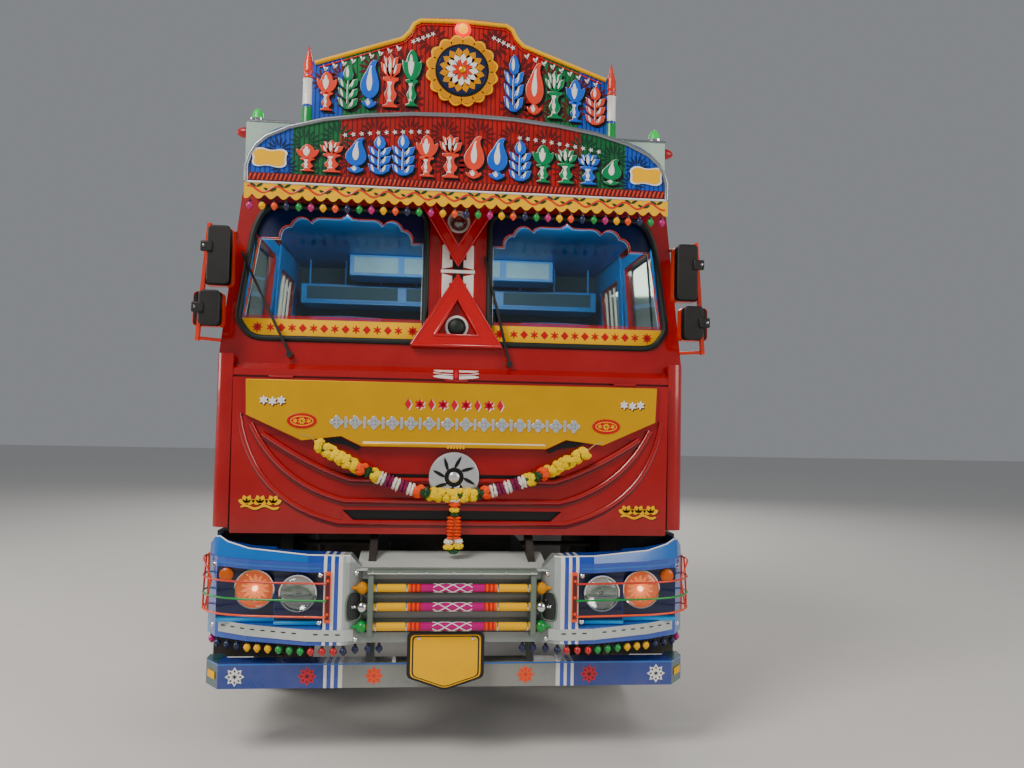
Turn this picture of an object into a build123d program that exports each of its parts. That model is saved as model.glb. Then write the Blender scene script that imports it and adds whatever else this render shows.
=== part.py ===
"""A decorated two-axle tractor truck with a tilting sleeper cab, at full size, in millimetres.

+Z is up, the truck faces -Y and its driver sits on the -X side. The origin is on the ground,
under the middle of the whole truck. Lengths along the truck are given as stations: how far a
point lies behind the front face of the low bumper bar.
"""

import os
from math import atan2, cos, degrees, radians, sin, tan

from build123d import *

os.makedirs("parts", exist_ok=True)

# Overall lengths and the chassis frame
FRONT_REACH = -135.0
TAIL_STATION = 5560.0
BAR_FACE_Y = -(TAIL_STATION + FRONT_REACH) / 2
FRONT_AXLE = 1380.0
WHEELBASE = 3320.0
REAR_AXLE = FRONT_AXLE + WHEELBASE
AXLE_Z = 519.0
FRAME_TOP = 960.0
FRAME_BASE = 710.0
RAIL_HALF = 430.0
RAIL_FLANGE = 80.0
RAIL_METAL = 8.0
RAIL_START = 260.0
RAIL_END = 5500.0

# Wheels and steering
TYRE_R = 519.0
RIM_R = 254.0
FRONT_WHEEL_X = 1015.0
REAR_WHEEL_X = 915.0
DUAL_HALF = 168.0
KINGPIN_X = 820.0
KINGPIN_R = 20.0
STEER_ARM = 200.0
SPINDLE_R = 35.0
REAR_SPINDLE_R = 45.0
RUNNING_GAP = 0.1

# Cab shell
WALL = 50.0
CAB_HALF = 1235.0
CAB_TOP_HALF = 1165.0
CAB_BASE = 1118.0
BELT_Z = 2020.0
EAVES_Z = 2870.0
ROOF_Z = 2965.0
CAB_NOSE = 230.0
CAB_BACK = 2150.0
SCREEN_STATION = 235.0
SCREEN_RAKE = 0.10
SCREEN_REF_Z = 2050.0
FLOOR_Z = 1195.0
FLOOR_TOP = 1235.0
TUNNEL_HALF = 415.0
TUNNEL_TOP = 1430.0
DOOR_FRONT = 349.0
DOOR_BACK = 1250.0
DOOR_BASE = 1130.0
DOOR_TOP = 2795.0
DOOR_GAP = 7.0
ARCH_R = 690.0
MUDGUARD_R = 650.0
TILT_STATION = 60.0
TILT_Z = 930.0
TILT_PIN_R = 15.0

# Decorated boards
BOARD = 25.0
VISOR_STATION = 40.0
VISOR_HALF = 1095.0
VISOR_TOP = 3281.0
VISOR_BACK = 333.0
VALANCE_Z = 2812.0
CROWN_STATION = 214.0
CROWN_HALF = 800.0

# Front panel, bumper and fifth wheel
PANEL_HALF = 1140.0
PANEL_BASE = 1093.0
PANEL_TOP = 1888.0
PANEL_STATION = 140.0
PANEL_DEPTH = 35.0
GARLAND_R = 33.0
GARLAND_STATION = 88.0
BUMPER_BASE = 591.0
BUMPER_FOLD = 985.0
BUMPER_LEAN = 20.0
BUMPER_RIDGE = 1090.0
BUMPER_SHELF = 954.0
COUPLING_STATION = 4350.0
COUPLING_TOP = 1250.0
COUPLING_PIVOT_Z = 1120.0
KINGPIN_BORE_R = 25.5


def back(station):
    """Y of a point that lies this far behind the low bar's front face."""
    return BAR_FACE_Y + station


def facing(station):
    """An upright plane across the truck, seen from its front: local x is X, local y is Z."""
    return Plane.XZ.offset(-back(station))


def both(right_half):
    """A right half outline, listed from its top down, closed with its mirrored left half."""
    return [*right_half, *[(-x, z) for x, z in reversed(right_half)]]


def block(x0, x1, s0, s1, z0, z1, mode=Mode.ADD):
    """A rectangular block between two values on each axis."""
    with Locations(((x0 + x1) / 2, back((s0 + s1) / 2), (z0 + z1) / 2)):
        Box(x1 - x0, s1 - s0, z1 - z0, mode=mode)


def from_side(outline, x0, x1, mode=Mode.ADD):
    """A side outline of (station, z) points, extruded across the truck."""
    with BuildSketch(Plane.YZ.offset(x0)) as profile:
        with BuildLine():
            Polyline(*[(back(s), z) for s, z in outline], close=True)
        make_face()
    extrude(profile.sketch, amount=x1 - x0, mode=mode)


def from_front(outline, s0, s1, mode=Mode.ADD):
    """A front outline of (x, z) points, extruded from one station back to another."""
    with BuildSketch(facing(s0)) as profile:
        with BuildLine():
            Polyline(*outline, close=True)
        make_face()
    extrude(profile.sketch, amount=s0 - s1, mode=mode)


def from_above(outline, z0, z1, mode=Mode.ADD):
    """A plan outline of (x, station) points, extruded upwards."""
    with BuildSketch(Plane.XY.offset(z0)) as profile:
        with BuildLine():
            Polyline(*[(x, back(s)) for x, s in outline], close=True)
        make_face()
    extrude(profile.sketch, amount=z1 - z0, mode=mode)


def bar_across(x0, x1, station, z, radius, mode=Mode.ADD):
    """A round bar, or a bore, that runs across the truck."""
    with Locations(((x0 + x1) / 2, back(station), z)):
        Cylinder(radius, x1 - x0, rotation=(0, 90, 0), mode=mode)


def bar_along(x, s0, s1, z, radius, mode=Mode.ADD):
    """A round bar that runs along the truck."""
    with Locations((x, back((s0 + s1) / 2), z)):
        Cylinder(radius, s1 - s0, rotation=(90, 0, 0), mode=mode)


def post(x, station, z0, z1, radius, mode=Mode.ADD):
    """A round upright bar, or an upright bore."""
    with Locations((x, back(station), (z0 + z1) / 2)):
        Cylinder(radius, z1 - z0, mode=mode)


def spun(profile_points, x_centre, station, z, side=1):
    """A profile of (distance outwards, radius) points turned about an axis across the truck."""
    with BuildSketch(Plane.XY) as profile:
        with BuildLine():
            Polyline(*[(x_centre + side * x, r) for x, r in profile_points], close=True)
        make_face()
    with BuildPart(mode=Mode.PRIVATE) as turned:
        add(revolve(profile.sketch, axis=Axis.X, mode=Mode.PRIVATE))
    add(turned.part.moved(Location((0, back(station), z))))


def keep(part, label):
    part.label = label
    export_step(part, f"parts/{label}.step")


def screen_at(z):
    """Station of the raked windscreen frame's outer plane at a height."""
    return SCREEN_STATION + SCREEN_RAKE * (z - SCREEN_REF_Z)


def screen_slab(z0, z1, front, rear, x0, x1, mode):
    """A slab parallel to the raked windscreen, between two depths behind its outer plane."""
    low, high = screen_at(z0), screen_at(z1)
    from_side([(low + front, z0), (high + front, z1), (high + rear, z1), (low + rear, z0)],
              x0, x1, mode)


# Chassis frame: two channel rails with their flanges turned inwards

with BuildPart() as frame_rails:
    block(RAIL_HALF - RAIL_FLANGE, RAIL_HALF, RAIL_START, RAIL_END, FRAME_BASE, FRAME_TOP)
    block(RAIL_HALF - RAIL_FLANGE, RAIL_HALF - RAIL_METAL, RAIL_START, RAIL_END,
          FRAME_BASE + RAIL_METAL, FRAME_TOP - RAIL_METAL, Mode.SUBTRACT)
    block(352, 376, 30, RAIL_START, 890, FRAME_TOP)
    block(352, 376, 5, RAIL_START, 720, 800)
    block(352, 376, 200, RAIL_START, 720, FRAME_TOP)
    bar_across(376, 432, TILT_STATION, TILT_Z, TILT_PIN_R)
    block(360, 420, 1985, 2045, FRAME_TOP, FLOOR_Z - 8)
    for hanger, base in ((610, 660), (2080, 660), (REAR_AXLE - 710, 695), (REAR_AXLE + 640, 695)):
        block(RAIL_HALF - RAIL_FLANGE, RAIL_HALF + 35, hanger, hanger + 70, base, FRAME_BASE)
    mirror(about=Plane.YZ)
keep(frame_rails.part, "frame_rails")

CROSS_STATIONS = (2420, 3300, 3980, 5000, 5400)
with BuildPart() as cross_members:
    inner = RAIL_HALF - RAIL_METAL
    block(-inner, inner, 290, 360, 730, 850)
    for station in CROSS_STATIONS:
        block(-inner, inner, station, station + 60, 880, FRAME_TOP - RAIL_METAL)
    block(-60, 60, 2420, 2480, FRAME_TOP - RAIL_METAL, FRAME_TOP)
    block(-RAIL_HALF, RAIL_HALF, 2330, 2900, FRAME_TOP, FRAME_TOP + 8)
keep(cross_members.part, "cross_members")

# Front axle: a dropped forged I-beam with kingpin eyes

BEAM_TOP = 440.0
BEAM_BASE = 350.0
EYE_LOW = 455.0
EYE_HIGH = 585.0
with BuildPart() as front_axle:
    from_front(both([(520, BEAM_TOP), (690, 500), (KINGPIN_X, 570), (KINGPIN_X, 470), (750, 470),
                     (650, 395), (560, BEAM_BASE)]), FRONT_AXLE - 45, FRONT_AXLE + 45)
    for web_start, web_end in ((-45, -18), (18, 45)):
        block(-370, 370, FRONT_AXLE + web_start, FRONT_AXLE + web_end, BEAM_BASE + 20, BEAM_TOP - 20,
              Mode.SUBTRACT)
    for x in (KINGPIN_X, -KINGPIN_X):
        post(x, FRONT_AXLE, EYE_LOW, EYE_HIGH, 48)
        post(x, FRONT_AXLE, EYE_LOW, EYE_HIGH, KINGPIN_R + RUNNING_GAP, Mode.SUBTRACT)
keep(front_axle.part, "front_axle")

# Leaf springs: (centre station, seat height, half length, camber, leaves)

SPRING_X = (385.0, 465.0)
LEAF = 14.0
LEAF_BITE = 0.6
SPRING_TABLE = ((FRONT_AXLE, BEAM_TOP, 740, 130, 5), (REAR_AXLE, 590.0, 680, 15, 5))
with BuildPart() as leaf_springs:
    for centre, seat, half, camber, leaves in SPRING_TABLE:
        block(*SPRING_X, centre - 60, centre + 60, seat, seat + 20)
        for leaf in range(leaves):
            reach = half * (1 - 0.13 * (leaves - 1 - leaf))
            rise = camber * (reach / half) ** 2
            low = seat + 20 + LEAF * leaf
            high = low + LEAF + (LEAF_BITE if leaf < leaves - 1 else 0)
            with BuildSketch(Plane.YZ.offset(SPRING_X[0])) as leaf_profile:
                with BuildLine():
                    ThreePointArc((back(centre - reach), low + rise), (back(centre), low),
                                  (back(centre + reach), low + rise))
                    Line((back(centre + reach), low + rise), (back(centre + reach), high + rise))
                    ThreePointArc((back(centre + reach), high + rise), (back(centre), high),
                                  (back(centre - reach), high + rise))
                    Line((back(centre - reach), high + rise), (back(centre - reach), low + rise))
                make_face()
            extrude(leaf_profile.sketch, amount=SPRING_X[1] - SPRING_X[0])
    mirror(about=Plane.YZ)
keep(leaf_springs.part, "leaf_springs")

# Rear axle: banjo housing, tubes and spindles, with the propeller shaft ahead of it

SHAFT_START = (1900.0, 700.0)
SHAFT_END = (REAR_AXLE - 200.0, 545.0)
with BuildPart() as rear_axle:
    bar_across(-590, 590, REAR_AXLE, AXLE_Z, 60)
    bar_across(-1000, 1000, REAR_AXLE, AXLE_Z, REAR_SPINDLE_R)
    spun([(-110, 0), (-110, 120), (-55, 185), (55, 185), (110, 120), (110, 0)], 0, REAR_AXLE, AXLE_Z)
    bar_along(0, REAR_AXLE - 230, REAR_AXLE - 100, 545, 75)
    for side in (-1, 1):
        x0, x1 = sorted((side * SPRING_X[0], side * SPRING_X[1]))
        block(x0, x1, REAR_AXLE - 60, REAR_AXLE + 60, AXLE_Z + 10, 590)
keep(rear_axle.part, "rear_axle")

SHAFT_RUN = (SHAFT_END[0] - 35 - SHAFT_START[0], SHAFT_END[1] - SHAFT_START[1])
with BuildPart() as propeller_shaft:
    shaft_plane = Plane(origin=(0, back(SHAFT_START[0]), SHAFT_START[1]), x_dir=(1, 0, 0),
                        z_dir=(0, SHAFT_RUN[0], SHAFT_RUN[1]))
    with BuildSketch(shaft_plane) as shaft_profile:
        Circle(45)
    extrude(shaft_profile.sketch, amount=(SHAFT_RUN[0] ** 2 + SHAFT_RUN[1] ** 2) ** 0.5 - 5)
    from_side([(1800, 500), (1900.2, 500), (1900.2, 900), (1800, 900)], -100, 100, Mode.SUBTRACT)
keep(propeller_shaft.part, "propeller_shaft")

# Engine with gearbox as one plain block, and the radiator ahead of it

with BuildPart() as engine_block:
    block(-290, 290, 560, 1480, 620, 1330)
    block(-190, 190, 1480, 1900, 560, 1010)
keep(engine_block.part, "engine_block")

with BuildPart() as radiator:
    block(-330, 330, 400, 470, 650, 1320)
    block(-300, 300, 470, 540, 700, 1270)
    block(-348, 348, 395, 475, 640, 665)
keep(radiator.part, "radiator")

# Tanks and boxes along the frame

with BuildPart() as fuel_tank:
    with BuildSketch(facing(2350)):
        with Locations((850, 690)):
            RectangleRounded(620, 560, 90)
    extrude(amount=-1050)
    for strap in (2600, 3090):
        block(RAIL_HALF, 560, strap, strap + 60, 740, 940)
        with BuildSketch(facing(strap)):
            with Locations((850, 690)):
                RectangleRounded(632, 572, 96)
        extrude(amount=-60)
    post(850, 2480, 960, 1000, 60)
keep(fuel_tank.part, "fuel_tank")

with BuildPart() as battery_box:
    block(-1150, -560, 2350, 2950, 520, 940)
    block(-560, -RAIL_HALF, 2400, 2460, 780, 900)
    block(-560, -RAIL_HALF, 2840, 2900, 780, 900)
    block(-1165, -545, 2335, 2965, 940, 965)
keep(battery_box.part, "battery_box")

with BuildPart() as air_tanks:
    for z in (580, 850):
        bar_along(-700, 3080, 3780, z, 120)
        bar_along(-700, 3060, 3800, z, 95)
    for station in (3180, 3620):
        block(-700, -RAIL_HALF, station, station + 50, 740, 880)
        block(-720, -680, station, station + 50, 600, 850)
keep(air_tanks.part, "air_tanks")

with BuildPart() as exhaust_silencer:
    block(540, 1080, 3480, 3960, 520, 900)
    block(RAIL_HALF, 540, 3560, 3620, 760, 880)
    block(RAIL_HALF, 540, 3820, 3880, 760, 880)
    bar_across(1080, 1190, 3880, 600, 55)
keep(exhaust_silencer.part, "exhaust_silencer")

# Front bumper: a swept beam whose top rises towards its corners, with lamp recesses

BUMPER_FRONT = ((0, -60), (440, -60), (520, -112), (700, -112), (1000, -20), (1170, 75), (1234, 190))
BUMPER_REAR = ((1234, 295), (1190, 295), (1190, 150), (1150, 95), (885, 95), (870, 22), (600, 22),
               (560, 5), (0, 5))
LAMP_BAY = (623.0, 1170.0, 672.0, 939.0)
INNER_LAMP_WALL = -20.0
OUTER_LAMP_WALL = 70.0
with BuildPart() as front_bumper:
    from_above([*BUMPER_FRONT, *BUMPER_REAR], BUMPER_BASE, BUMPER_FOLD)
    crown_sections = []
    for height, lean in ((BUMPER_FOLD, 0), (BUMPER_RIDGE, BUMPER_LEAN)):
        leaning = [(x, s + lean) for x, s in BUMPER_FRONT]
        with BuildSketch(Plane.XY.offset(height)) as crown_section:
            with BuildLine():
                Polyline(*[(x, back(s)) for x, s in (*leaning, *BUMPER_REAR)], close=True)
            make_face()
        crown_sections.append(crown_section.sketch)
    loft(crown_sections, ruled=True)
    from_front([(0, BUMPER_SHELF), (446, BUMPER_SHELF), (500, 1020), (700, 1022), (1000, 1038),
                (1120, 1062), (1166, 1085), (1200, 1078), (1234, 1036), (1300, 1036), (1300, 1200),
                (0, 1200)], -300, 300, Mode.SUBTRACT)
    block(LAMP_BAY[0], 870, -300, INNER_LAMP_WALL, LAMP_BAY[2], LAMP_BAY[3], Mode.SUBTRACT)
    block(870, LAMP_BAY[1], -300, OUTER_LAMP_WALL, LAMP_BAY[2], LAMP_BAY[3], Mode.SUBTRACT)
    block(0, 440, -61, -30, 640, 900, Mode.SUBTRACT)
    mirror(about=Plane.YZ)
keep(front_bumper.part, "front_bumper")

# Headlamps and indicators: (x, z, radius, wall station, body depth, dome)

LAMP_TABLE = (
    (978.0, 831.0, 98.0, OUTER_LAMP_WALL, 34.0, 20.0),
    (752.0, 829.0, 90.0, INNER_LAMP_WALL, 40.0, 18.0),
    (1120.0, 898.0, 34.0, OUTER_LAMP_WALL, 20.0, 8.0),
)
with BuildPart() as headlamps:
    for x, z, radius, wall, depth, dome in LAMP_TABLE:
        bar_along(x, wall - depth, wall, z, radius)
        with BuildSketch(Plane.XY) as dome_profile:
            with BuildLine():
                Polyline((0, 0), (radius - 4, 0), (radius * 0.8, dome * 0.6),
                         (radius * 0.4, dome * 0.92), (0, dome), close=True)
            make_face()
        with BuildPart(mode=Mode.PRIVATE) as lens:
            add(revolve(dome_profile.sketch, axis=Axis.Y, mode=Mode.PRIVATE))
        add(lens.part.moved(Location((x, back(wall - depth), z), (180, 0, 0))))
    mirror(about=Plane.YZ)
keep(headlamps.part, "headlamps")

# Wire guards over the lamps: four bent square bars between an end plate and a corner plate

GUARD_WIRE = 10.0
GUARD_HEIGHTS = (930.0, 888.0, 806.0, 728.0)
GUARD_PATH = ((606, -129), (1020, -84), (1190, 10), (1256, 150), (1240, 236))
GUARD_ROUNDS = (500, 260, 110)
with BuildPart() as lamp_guards:
    block(588, 614, -134, -112, 700, 944)
    for height in GUARD_HEIGHTS:
        with BuildLine() as hoop:
            FilletPolyline(*[(x, back(s), height) for x, s in GUARD_PATH], radius=GUARD_ROUNDS)
        with BuildSketch(Plane(origin=hoop.line @ 0, z_dir=hoop.line % 0)) as wire:
            Rectangle(GUARD_WIRE, GUARD_WIRE)
        sweep(wire.sketch, path=hoop.line)
    from_above([(1236, 200), (1246, 200), (1246, 250), (1236, 250)], 690, 985)
    mirror(about=Plane.YZ)
keep(lamp_guards.part, "lamp_guards")

# Rack ahead of the bumper: two posts and a shelf, with three painted tubes through the posts

RACK_TUBES = (861.0, 769.0, 674.0)
RACK_STATION = -88.0
TUBE_R = 20.0
POST_X = (385.0, 412.0)
with BuildPart() as bumper_rack:
    for side in (-1, 1):
        x0, x1 = sorted((side * POST_X[0], side * POST_X[1]))
        block(x0, x1, -112, -60, 626, 930)
    block(-416, 416, -118, -60, 930, 952)
keep(bumper_rack.part, "bumper_rack")

with BuildPart() as rack_tubes:
    for z in RACK_TUBES:
        bar_across(-POST_X[0], POST_X[0], RACK_STATION, z, TUBE_R)
        for side in (-1, 1):
            spun([(POST_X[1], 0), (POST_X[1], 12), (424, 22), (440, 24), (456, 17), (476, 0)],
                 0, RACK_STATION, z, side)
keep(rack_tubes.part, "rack_tubes")

# Low bumper bar with mitred ends, hung from the frame on two arms

with BuildPart() as low_bumper_bar:
    from_above([(-1133, 0), (1133, 0), (1212, 105), (1212, 179), (1150, 179), (1110, 110),
                (-1110, 110), (-1150, 179), (-1212, 179), (-1212, 105)], 355, 477)
    for side in (-1, 1):
        x0, x1 = sorted((side * 385, side * 425))
        from_side([(40, 470), (110, 400), (350, 640), (350, FRAME_BASE), (262, FRAME_BASE), (262, 692)],
                  x0, x1)
keep(low_bumper_bar.part, "low_bumper_bar")

# Step wells under the doors, joined to the front mudguards

with BuildPart() as step_wells:
    block(900, 1228, 300, 742, 430, 1085)
    for low, high, depth in ((500, 745, 250), (785, 1035, 200)):
        block(1228 - depth, 1300, 335, 700, low, high, Mode.SUBTRACT)
    with BuildSketch(Plane.YZ.offset(862)) as guard_profile:
        with Locations((back(FRONT_AXLE), AXLE_Z)):
            Circle(MUDGUARD_R + 10)
            Circle(MUDGUARD_R, mode=Mode.SUBTRACT)
        with Locations((back(FRONT_AXLE), AXLE_Z - 600)):
            Rectangle(1600, 1500, mode=Mode.SUBTRACT)
    extrude(guard_profile.sketch, amount=364)
    for lean in (-50, 50):
        bar_across(RAIL_HALF, 880, FRONT_AXLE + 666 * sin(radians(lean)),
                   AXLE_Z + 666 * cos(radians(lean)), 14)
    mirror(about=Plane.YZ)
keep(step_wells.part, "step_wells")

# Rear mudguards over the twin wheels, on bars from the frame

REAR_GUARD_R = 575.0
with BuildPart() as rear_mudguards:
    with BuildSketch(Plane.YZ.offset(596)) as rear_guard_profile:
        with Locations((back(REAR_AXLE), AXLE_Z)):
            Circle(REAR_GUARD_R + 9)
            Circle(REAR_GUARD_R, mode=Mode.SUBTRACT)
        with Locations((back(REAR_AXLE), AXLE_Z - 600)):
            Rectangle(1400, 1500, mode=Mode.SUBTRACT)
    extrude(rear_guard_profile.sketch, amount=639)
    block(596, 1235, REAR_AXLE + 553, REAR_AXLE + 561, 330, 690)
    for lean in (-50, 50):
        bar_across(RAIL_HALF, 1180, REAR_AXLE + 594 * sin(radians(lean)),
                   AXLE_Z + 594 * cos(radians(lean)), 16)
    mirror(about=Plane.YZ)
keep(rear_mudguards.part, "rear_mudguards")

# Tail bar with its lamp boxes and the towing pin's block

with BuildPart() as tail_bar:
    block(-1180, 1180, 5470, 5530, 560, 680)
    for side in (-1, 1):
        x0, x1 = sorted((side * 350, side * RAIL_HALF))
        block(x0, x1, 5430, 5490, 600, FRAME_BASE)
        x0, x1 = sorted((side * 780, side * 1150))
        block(x0, x1, 5530, TAIL_STATION, 565, 675)
keep(tail_bar.part, "tail_bar")

# Fifth wheel: a base on the frame with two pedestals, the rocking plate, and the jaw in its throat

PEDESTAL_X = (300.0, 350.0)
FIFTH_PIN_R = 25.0
PLATE_R = 450.0
PLATE_DEPTH = 48.0
JAW_HALF = 130.0
JAW_FRONT = -140.0
JAW_BACK = 75.0
THROAT = ((-34, 75), (34, 75), (150, 500), (-150, 500))
with BuildPart() as fifth_wheel_base:
    block(-RAIL_HALF, RAIL_HALF, 3950, 4780, FRAME_TOP, 976)
    for side in (-1, 1):
        x0, x1 = sorted((side * PEDESTAL_X[0], side * PEDESTAL_X[1]))
        from_side([(COUPLING_STATION - 170, 976), (COUPLING_STATION + 170, 976),
                   (COUPLING_STATION + 45, COUPLING_PIVOT_Z + 10), (COUPLING_STATION + 20, 1155),
                   (COUPLING_STATION - 20, 1155), (COUPLING_STATION - 45, COUPLING_PIVOT_Z + 10)], x0, x1)
        bar_across(*sorted((side * 350, side * 410)), COUPLING_STATION, COUPLING_PIVOT_Z, FIFTH_PIN_R)
keep(fifth_wheel_base.part, "fifth_wheel_base")

with BuildPart() as fifth_wheel_plate:
    with BuildSketch(Plane.XY.offset(COUPLING_TOP - PLATE_DEPTH)) as top_plate:
        with Locations((0, back(COUPLING_STATION))):
            Circle(PLATE_R)
        with Locations((0, back(COUPLING_STATION + 200))):
            Rectangle(2 * PLATE_R, 400)
        with BuildLine():
            Polyline(*[(x, back(COUPLING_STATION + s)) for x, s in THROAT], close=True)
        make_face(mode=Mode.SUBTRACT)
        with Locations((0, back(COUPLING_STATION + (JAW_FRONT + JAW_BACK) / 2))):
            Rectangle(2 * JAW_HALF, JAW_BACK - JAW_FRONT, mode=Mode.SUBTRACT)
    extrude(top_plate.sketch, amount=PLATE_DEPTH)
    for side in (-1, 1):
        x0, x1 = sorted((side * 362, side * 400))
        from_side([(COUPLING_STATION - 90, 1202), (COUPLING_STATION - 40, COUPLING_PIVOT_Z - 38),
                   (COUPLING_STATION + 40, COUPLING_PIVOT_Z - 38), (COUPLING_STATION + 90, 1202)], x0, x1)
        bar_across(x0, x1, COUPLING_STATION, COUPLING_PIVOT_Z, FIFTH_PIN_R + RUNNING_GAP, Mode.SUBTRACT)
keep(fifth_wheel_plate.part, "fifth_wheel_plate")

with BuildPart() as coupling_jaw:
    block(-JAW_HALF, JAW_HALF, COUPLING_STATION + JAW_FRONT, COUPLING_STATION + JAW_BACK,
          COUPLING_TOP - PLATE_DEPTH, COUPLING_TOP)
    post(0, COUPLING_STATION, COUPLING_TOP - PLATE_DEPTH, COUPLING_TOP, KINGPIN_BORE_R, Mode.SUBTRACT)
keep(coupling_jaw.part, "coupling_jaw")

# Cab floor with its engine tunnel, seat bases and tilt lugs

with BuildPart() as cab_floor:
    inside = CAB_HALF - WALL
    block(-inside, inside, CAB_NOSE, CAB_BACK - WALL, FLOOR_Z, FLOOR_TOP)
    block(-TUNNEL_HALF, TUNNEL_HALF, CAB_NOSE, CAB_BACK - WALL, FLOOR_Z, TUNNEL_TOP)
    block(-TUNNEL_HALF + 30, TUNNEL_HALF - 30, CAB_NOSE, CAB_BACK - WALL, FLOOR_Z, TUNNEL_TOP - 30,
          Mode.SUBTRACT)
    for side in (-1, 1):
        x0, x1 = sorted((side * 386, side * 424))
        from_side([(28, 920), (40, 960), (222, 1110), (232, FLOOR_Z), (330, FLOOR_Z), (330, 1140),
                   (100, 905), (70, 893), (45, 897)], x0, x1)
        bar_across(x0, x1, TILT_STATION, TILT_Z, TILT_PIN_R + RUNNING_GAP, Mode.SUBTRACT)
        x0, x1 = sorted((side * 500, side * 940))
        block(x0, x1, 1020, 1420, FLOOR_TOP, 1640)
    block(-1150, 1150, 1580, CAB_BACK - WALL, TUNNEL_TOP, 1640)
    block(-1150, -1100, 1580, CAB_BACK - WALL, FLOOR_TOP, TUNNEL_TOP)
    block(1100, 1150, 1580, CAB_BACK - WALL, FLOOR_TOP, TUNNEL_TOP)
keep(cab_floor.part, "cab_floor")

# Outline of one windscreen pane, seen from the front, at its rubber's middle line

PANE = ((172, 2100), (1080, 2100), (1146, 2190), (1150, 2225), (1092, 2700), (1030, 2822), (172, 2822))


def pane_prism(side, mode):
    from_front([(side * x, z) for x, z in PANE], 120, 480, mode)


# Cab front: bulkhead behind the front panel, cowl, and the raked windscreen frame

PILLAR_IN = CAB_HALF - WALL
rake_top = screen_at(EAVES_Z)
with BuildPart() as cab_front:
    from_side([(165, 1900), (170, 1935), (screen_at(1965), 1965), (rake_top, EAVES_Z),
               (rake_top + WALL, EAVES_Z), (284, 2060), (235, 1985), (215, 1890), (215, CAB_BASE),
               (190, CAB_BASE), (190, 1900)], -PILLAR_IN, PILLAR_IN)
    outside = [(PILLAR_IN, BELT_Z), (CAB_TOP_HALF - WALL, EAVES_Z), (1400, EAVES_Z), (1400, BELT_Z)]
    for side in (-1, 1):
        from_front([(side * x, z) for x, z in outside], 100, 480, Mode.SUBTRACT)
        block(*sorted((side * 1147, side * 1300)), 100, CAB_NOSE, 1000, 2012, Mode.SUBTRACT)
        pane_prism(side, Mode.SUBTRACT)
    block(-385, 385, 180, 225, CAB_BASE, TUNNEL_TOP - 30, Mode.SUBTRACT)
keep(cab_front.part, "cab_front")

with BuildPart() as corner_deflectors:
    with BuildSketch(Plane.XY.offset(CAB_BASE)) as deflector_plan:
        with BuildLine():
            Polyline((1147, back(190)), (1147, back(163)), (1182, back(167)))
            ThreePointArc((1182, back(167)), (1219, back(184)), (CAB_HALF, back(CAB_NOSE)))
            Polyline((CAB_HALF, back(CAB_NOSE)), (1190, back(CAB_NOSE)), (1190, back(205)),
                     (1147, back(190)))
        make_face()
    extrude(deflector_plan.sketch, amount=2010 - CAB_BASE)
    mirror(about=Plane.YZ)
keep(corner_deflectors.part, "corner_deflectors")

# Cab sides: a wall that leans in above the belt, with the door and sleeper window cut out

WALL_BAND = [(CAB_HALF, CAB_BASE), (CAB_HALF, BELT_Z), (CAB_TOP_HALF, EAVES_Z),
             (CAB_TOP_HALF - WALL, EAVES_Z), (CAB_HALF - WALL, BELT_Z), (CAB_HALF - WALL, CAB_BASE)]
GLASS_BAND = [(1213, 1900), (1213, BELT_Z), (1143, EAVES_Z), (1137, EAVES_Z), (1207, BELT_Z),
              (1207, 1900)]
SIDE_OUTLINE = [(CAB_NOSE, CAB_BASE), (CAB_NOSE, 2012), (screen_at(2012), 2012), (rake_top, EAVES_Z),
                (CAB_BACK, EAVES_Z), (CAB_BACK, CAB_BASE)]
DOOR_HOLE = [(DOOR_FRONT, DOOR_BASE), (DOOR_FRONT, BELT_Z), (432, DOOR_TOP), (DOOR_BACK, DOOR_TOP),
             (DOOR_BACK, DOOR_BASE)]
DOOR_OUTLINE = [(DOOR_FRONT + DOOR_GAP, DOOR_BASE + DOOR_GAP), (DOOR_FRONT + DOOR_GAP, BELT_Z),
                (432 + DOOR_GAP, DOOR_TOP - DOOR_GAP), (DOOR_BACK - DOOR_GAP, DOOR_TOP - DOOR_GAP),
                (DOOR_BACK - DOOR_GAP, DOOR_BASE + DOOR_GAP)]
DOOR_WINDOW = [(462, 2095), (518, 2700), (1160, 2700), (1160, 2095)]
SLEEPER_WINDOW = [(1400, 2150), (1400, 2640), (1930, 2640), (1930, 2150)]


def wheel_arch(x0, x1, mode=Mode.SUBTRACT):
    bar_across(x0, x1, FRONT_AXLE, AXLE_Z, ARCH_R, mode)


with BuildPart() as cab_sides:
    from_front(WALL_BAND, CAB_NOSE, CAB_BACK)
    from_side(SIDE_OUTLINE, 1000, 1300, Mode.INTERSECT)
    from_side(DOOR_HOLE, 1000, 1300, Mode.SUBTRACT)
    from_side(SLEEPER_WINDOW, 1000, 1300, Mode.SUBTRACT)
    wheel_arch(1000, 1300)
    mirror(about=Plane.YZ)
keep(cab_sides.part, "cab_sides")

with BuildPart() as cab_rear_wall:
    from_front(both([(CAB_TOP_HALF - WALL, EAVES_Z), (CAB_HALF - WALL, BELT_Z),
                     (CAB_HALF - WALL, FLOOR_Z)]), CAB_BACK - WALL, CAB_BACK)
    for panel_x in (-740, 0, 740):
        for panel_z, panel_height in ((1590, 660), (2420, 760)):
            with BuildSketch(facing(CAB_BACK)):
                with Locations((panel_x, panel_z)):
                    RectangleRounded(640, panel_height, 50)
            extrude(amount=12, mode=Mode.SUBTRACT)
keep(cab_rear_wall.part, "cab_rear_wall")

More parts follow.
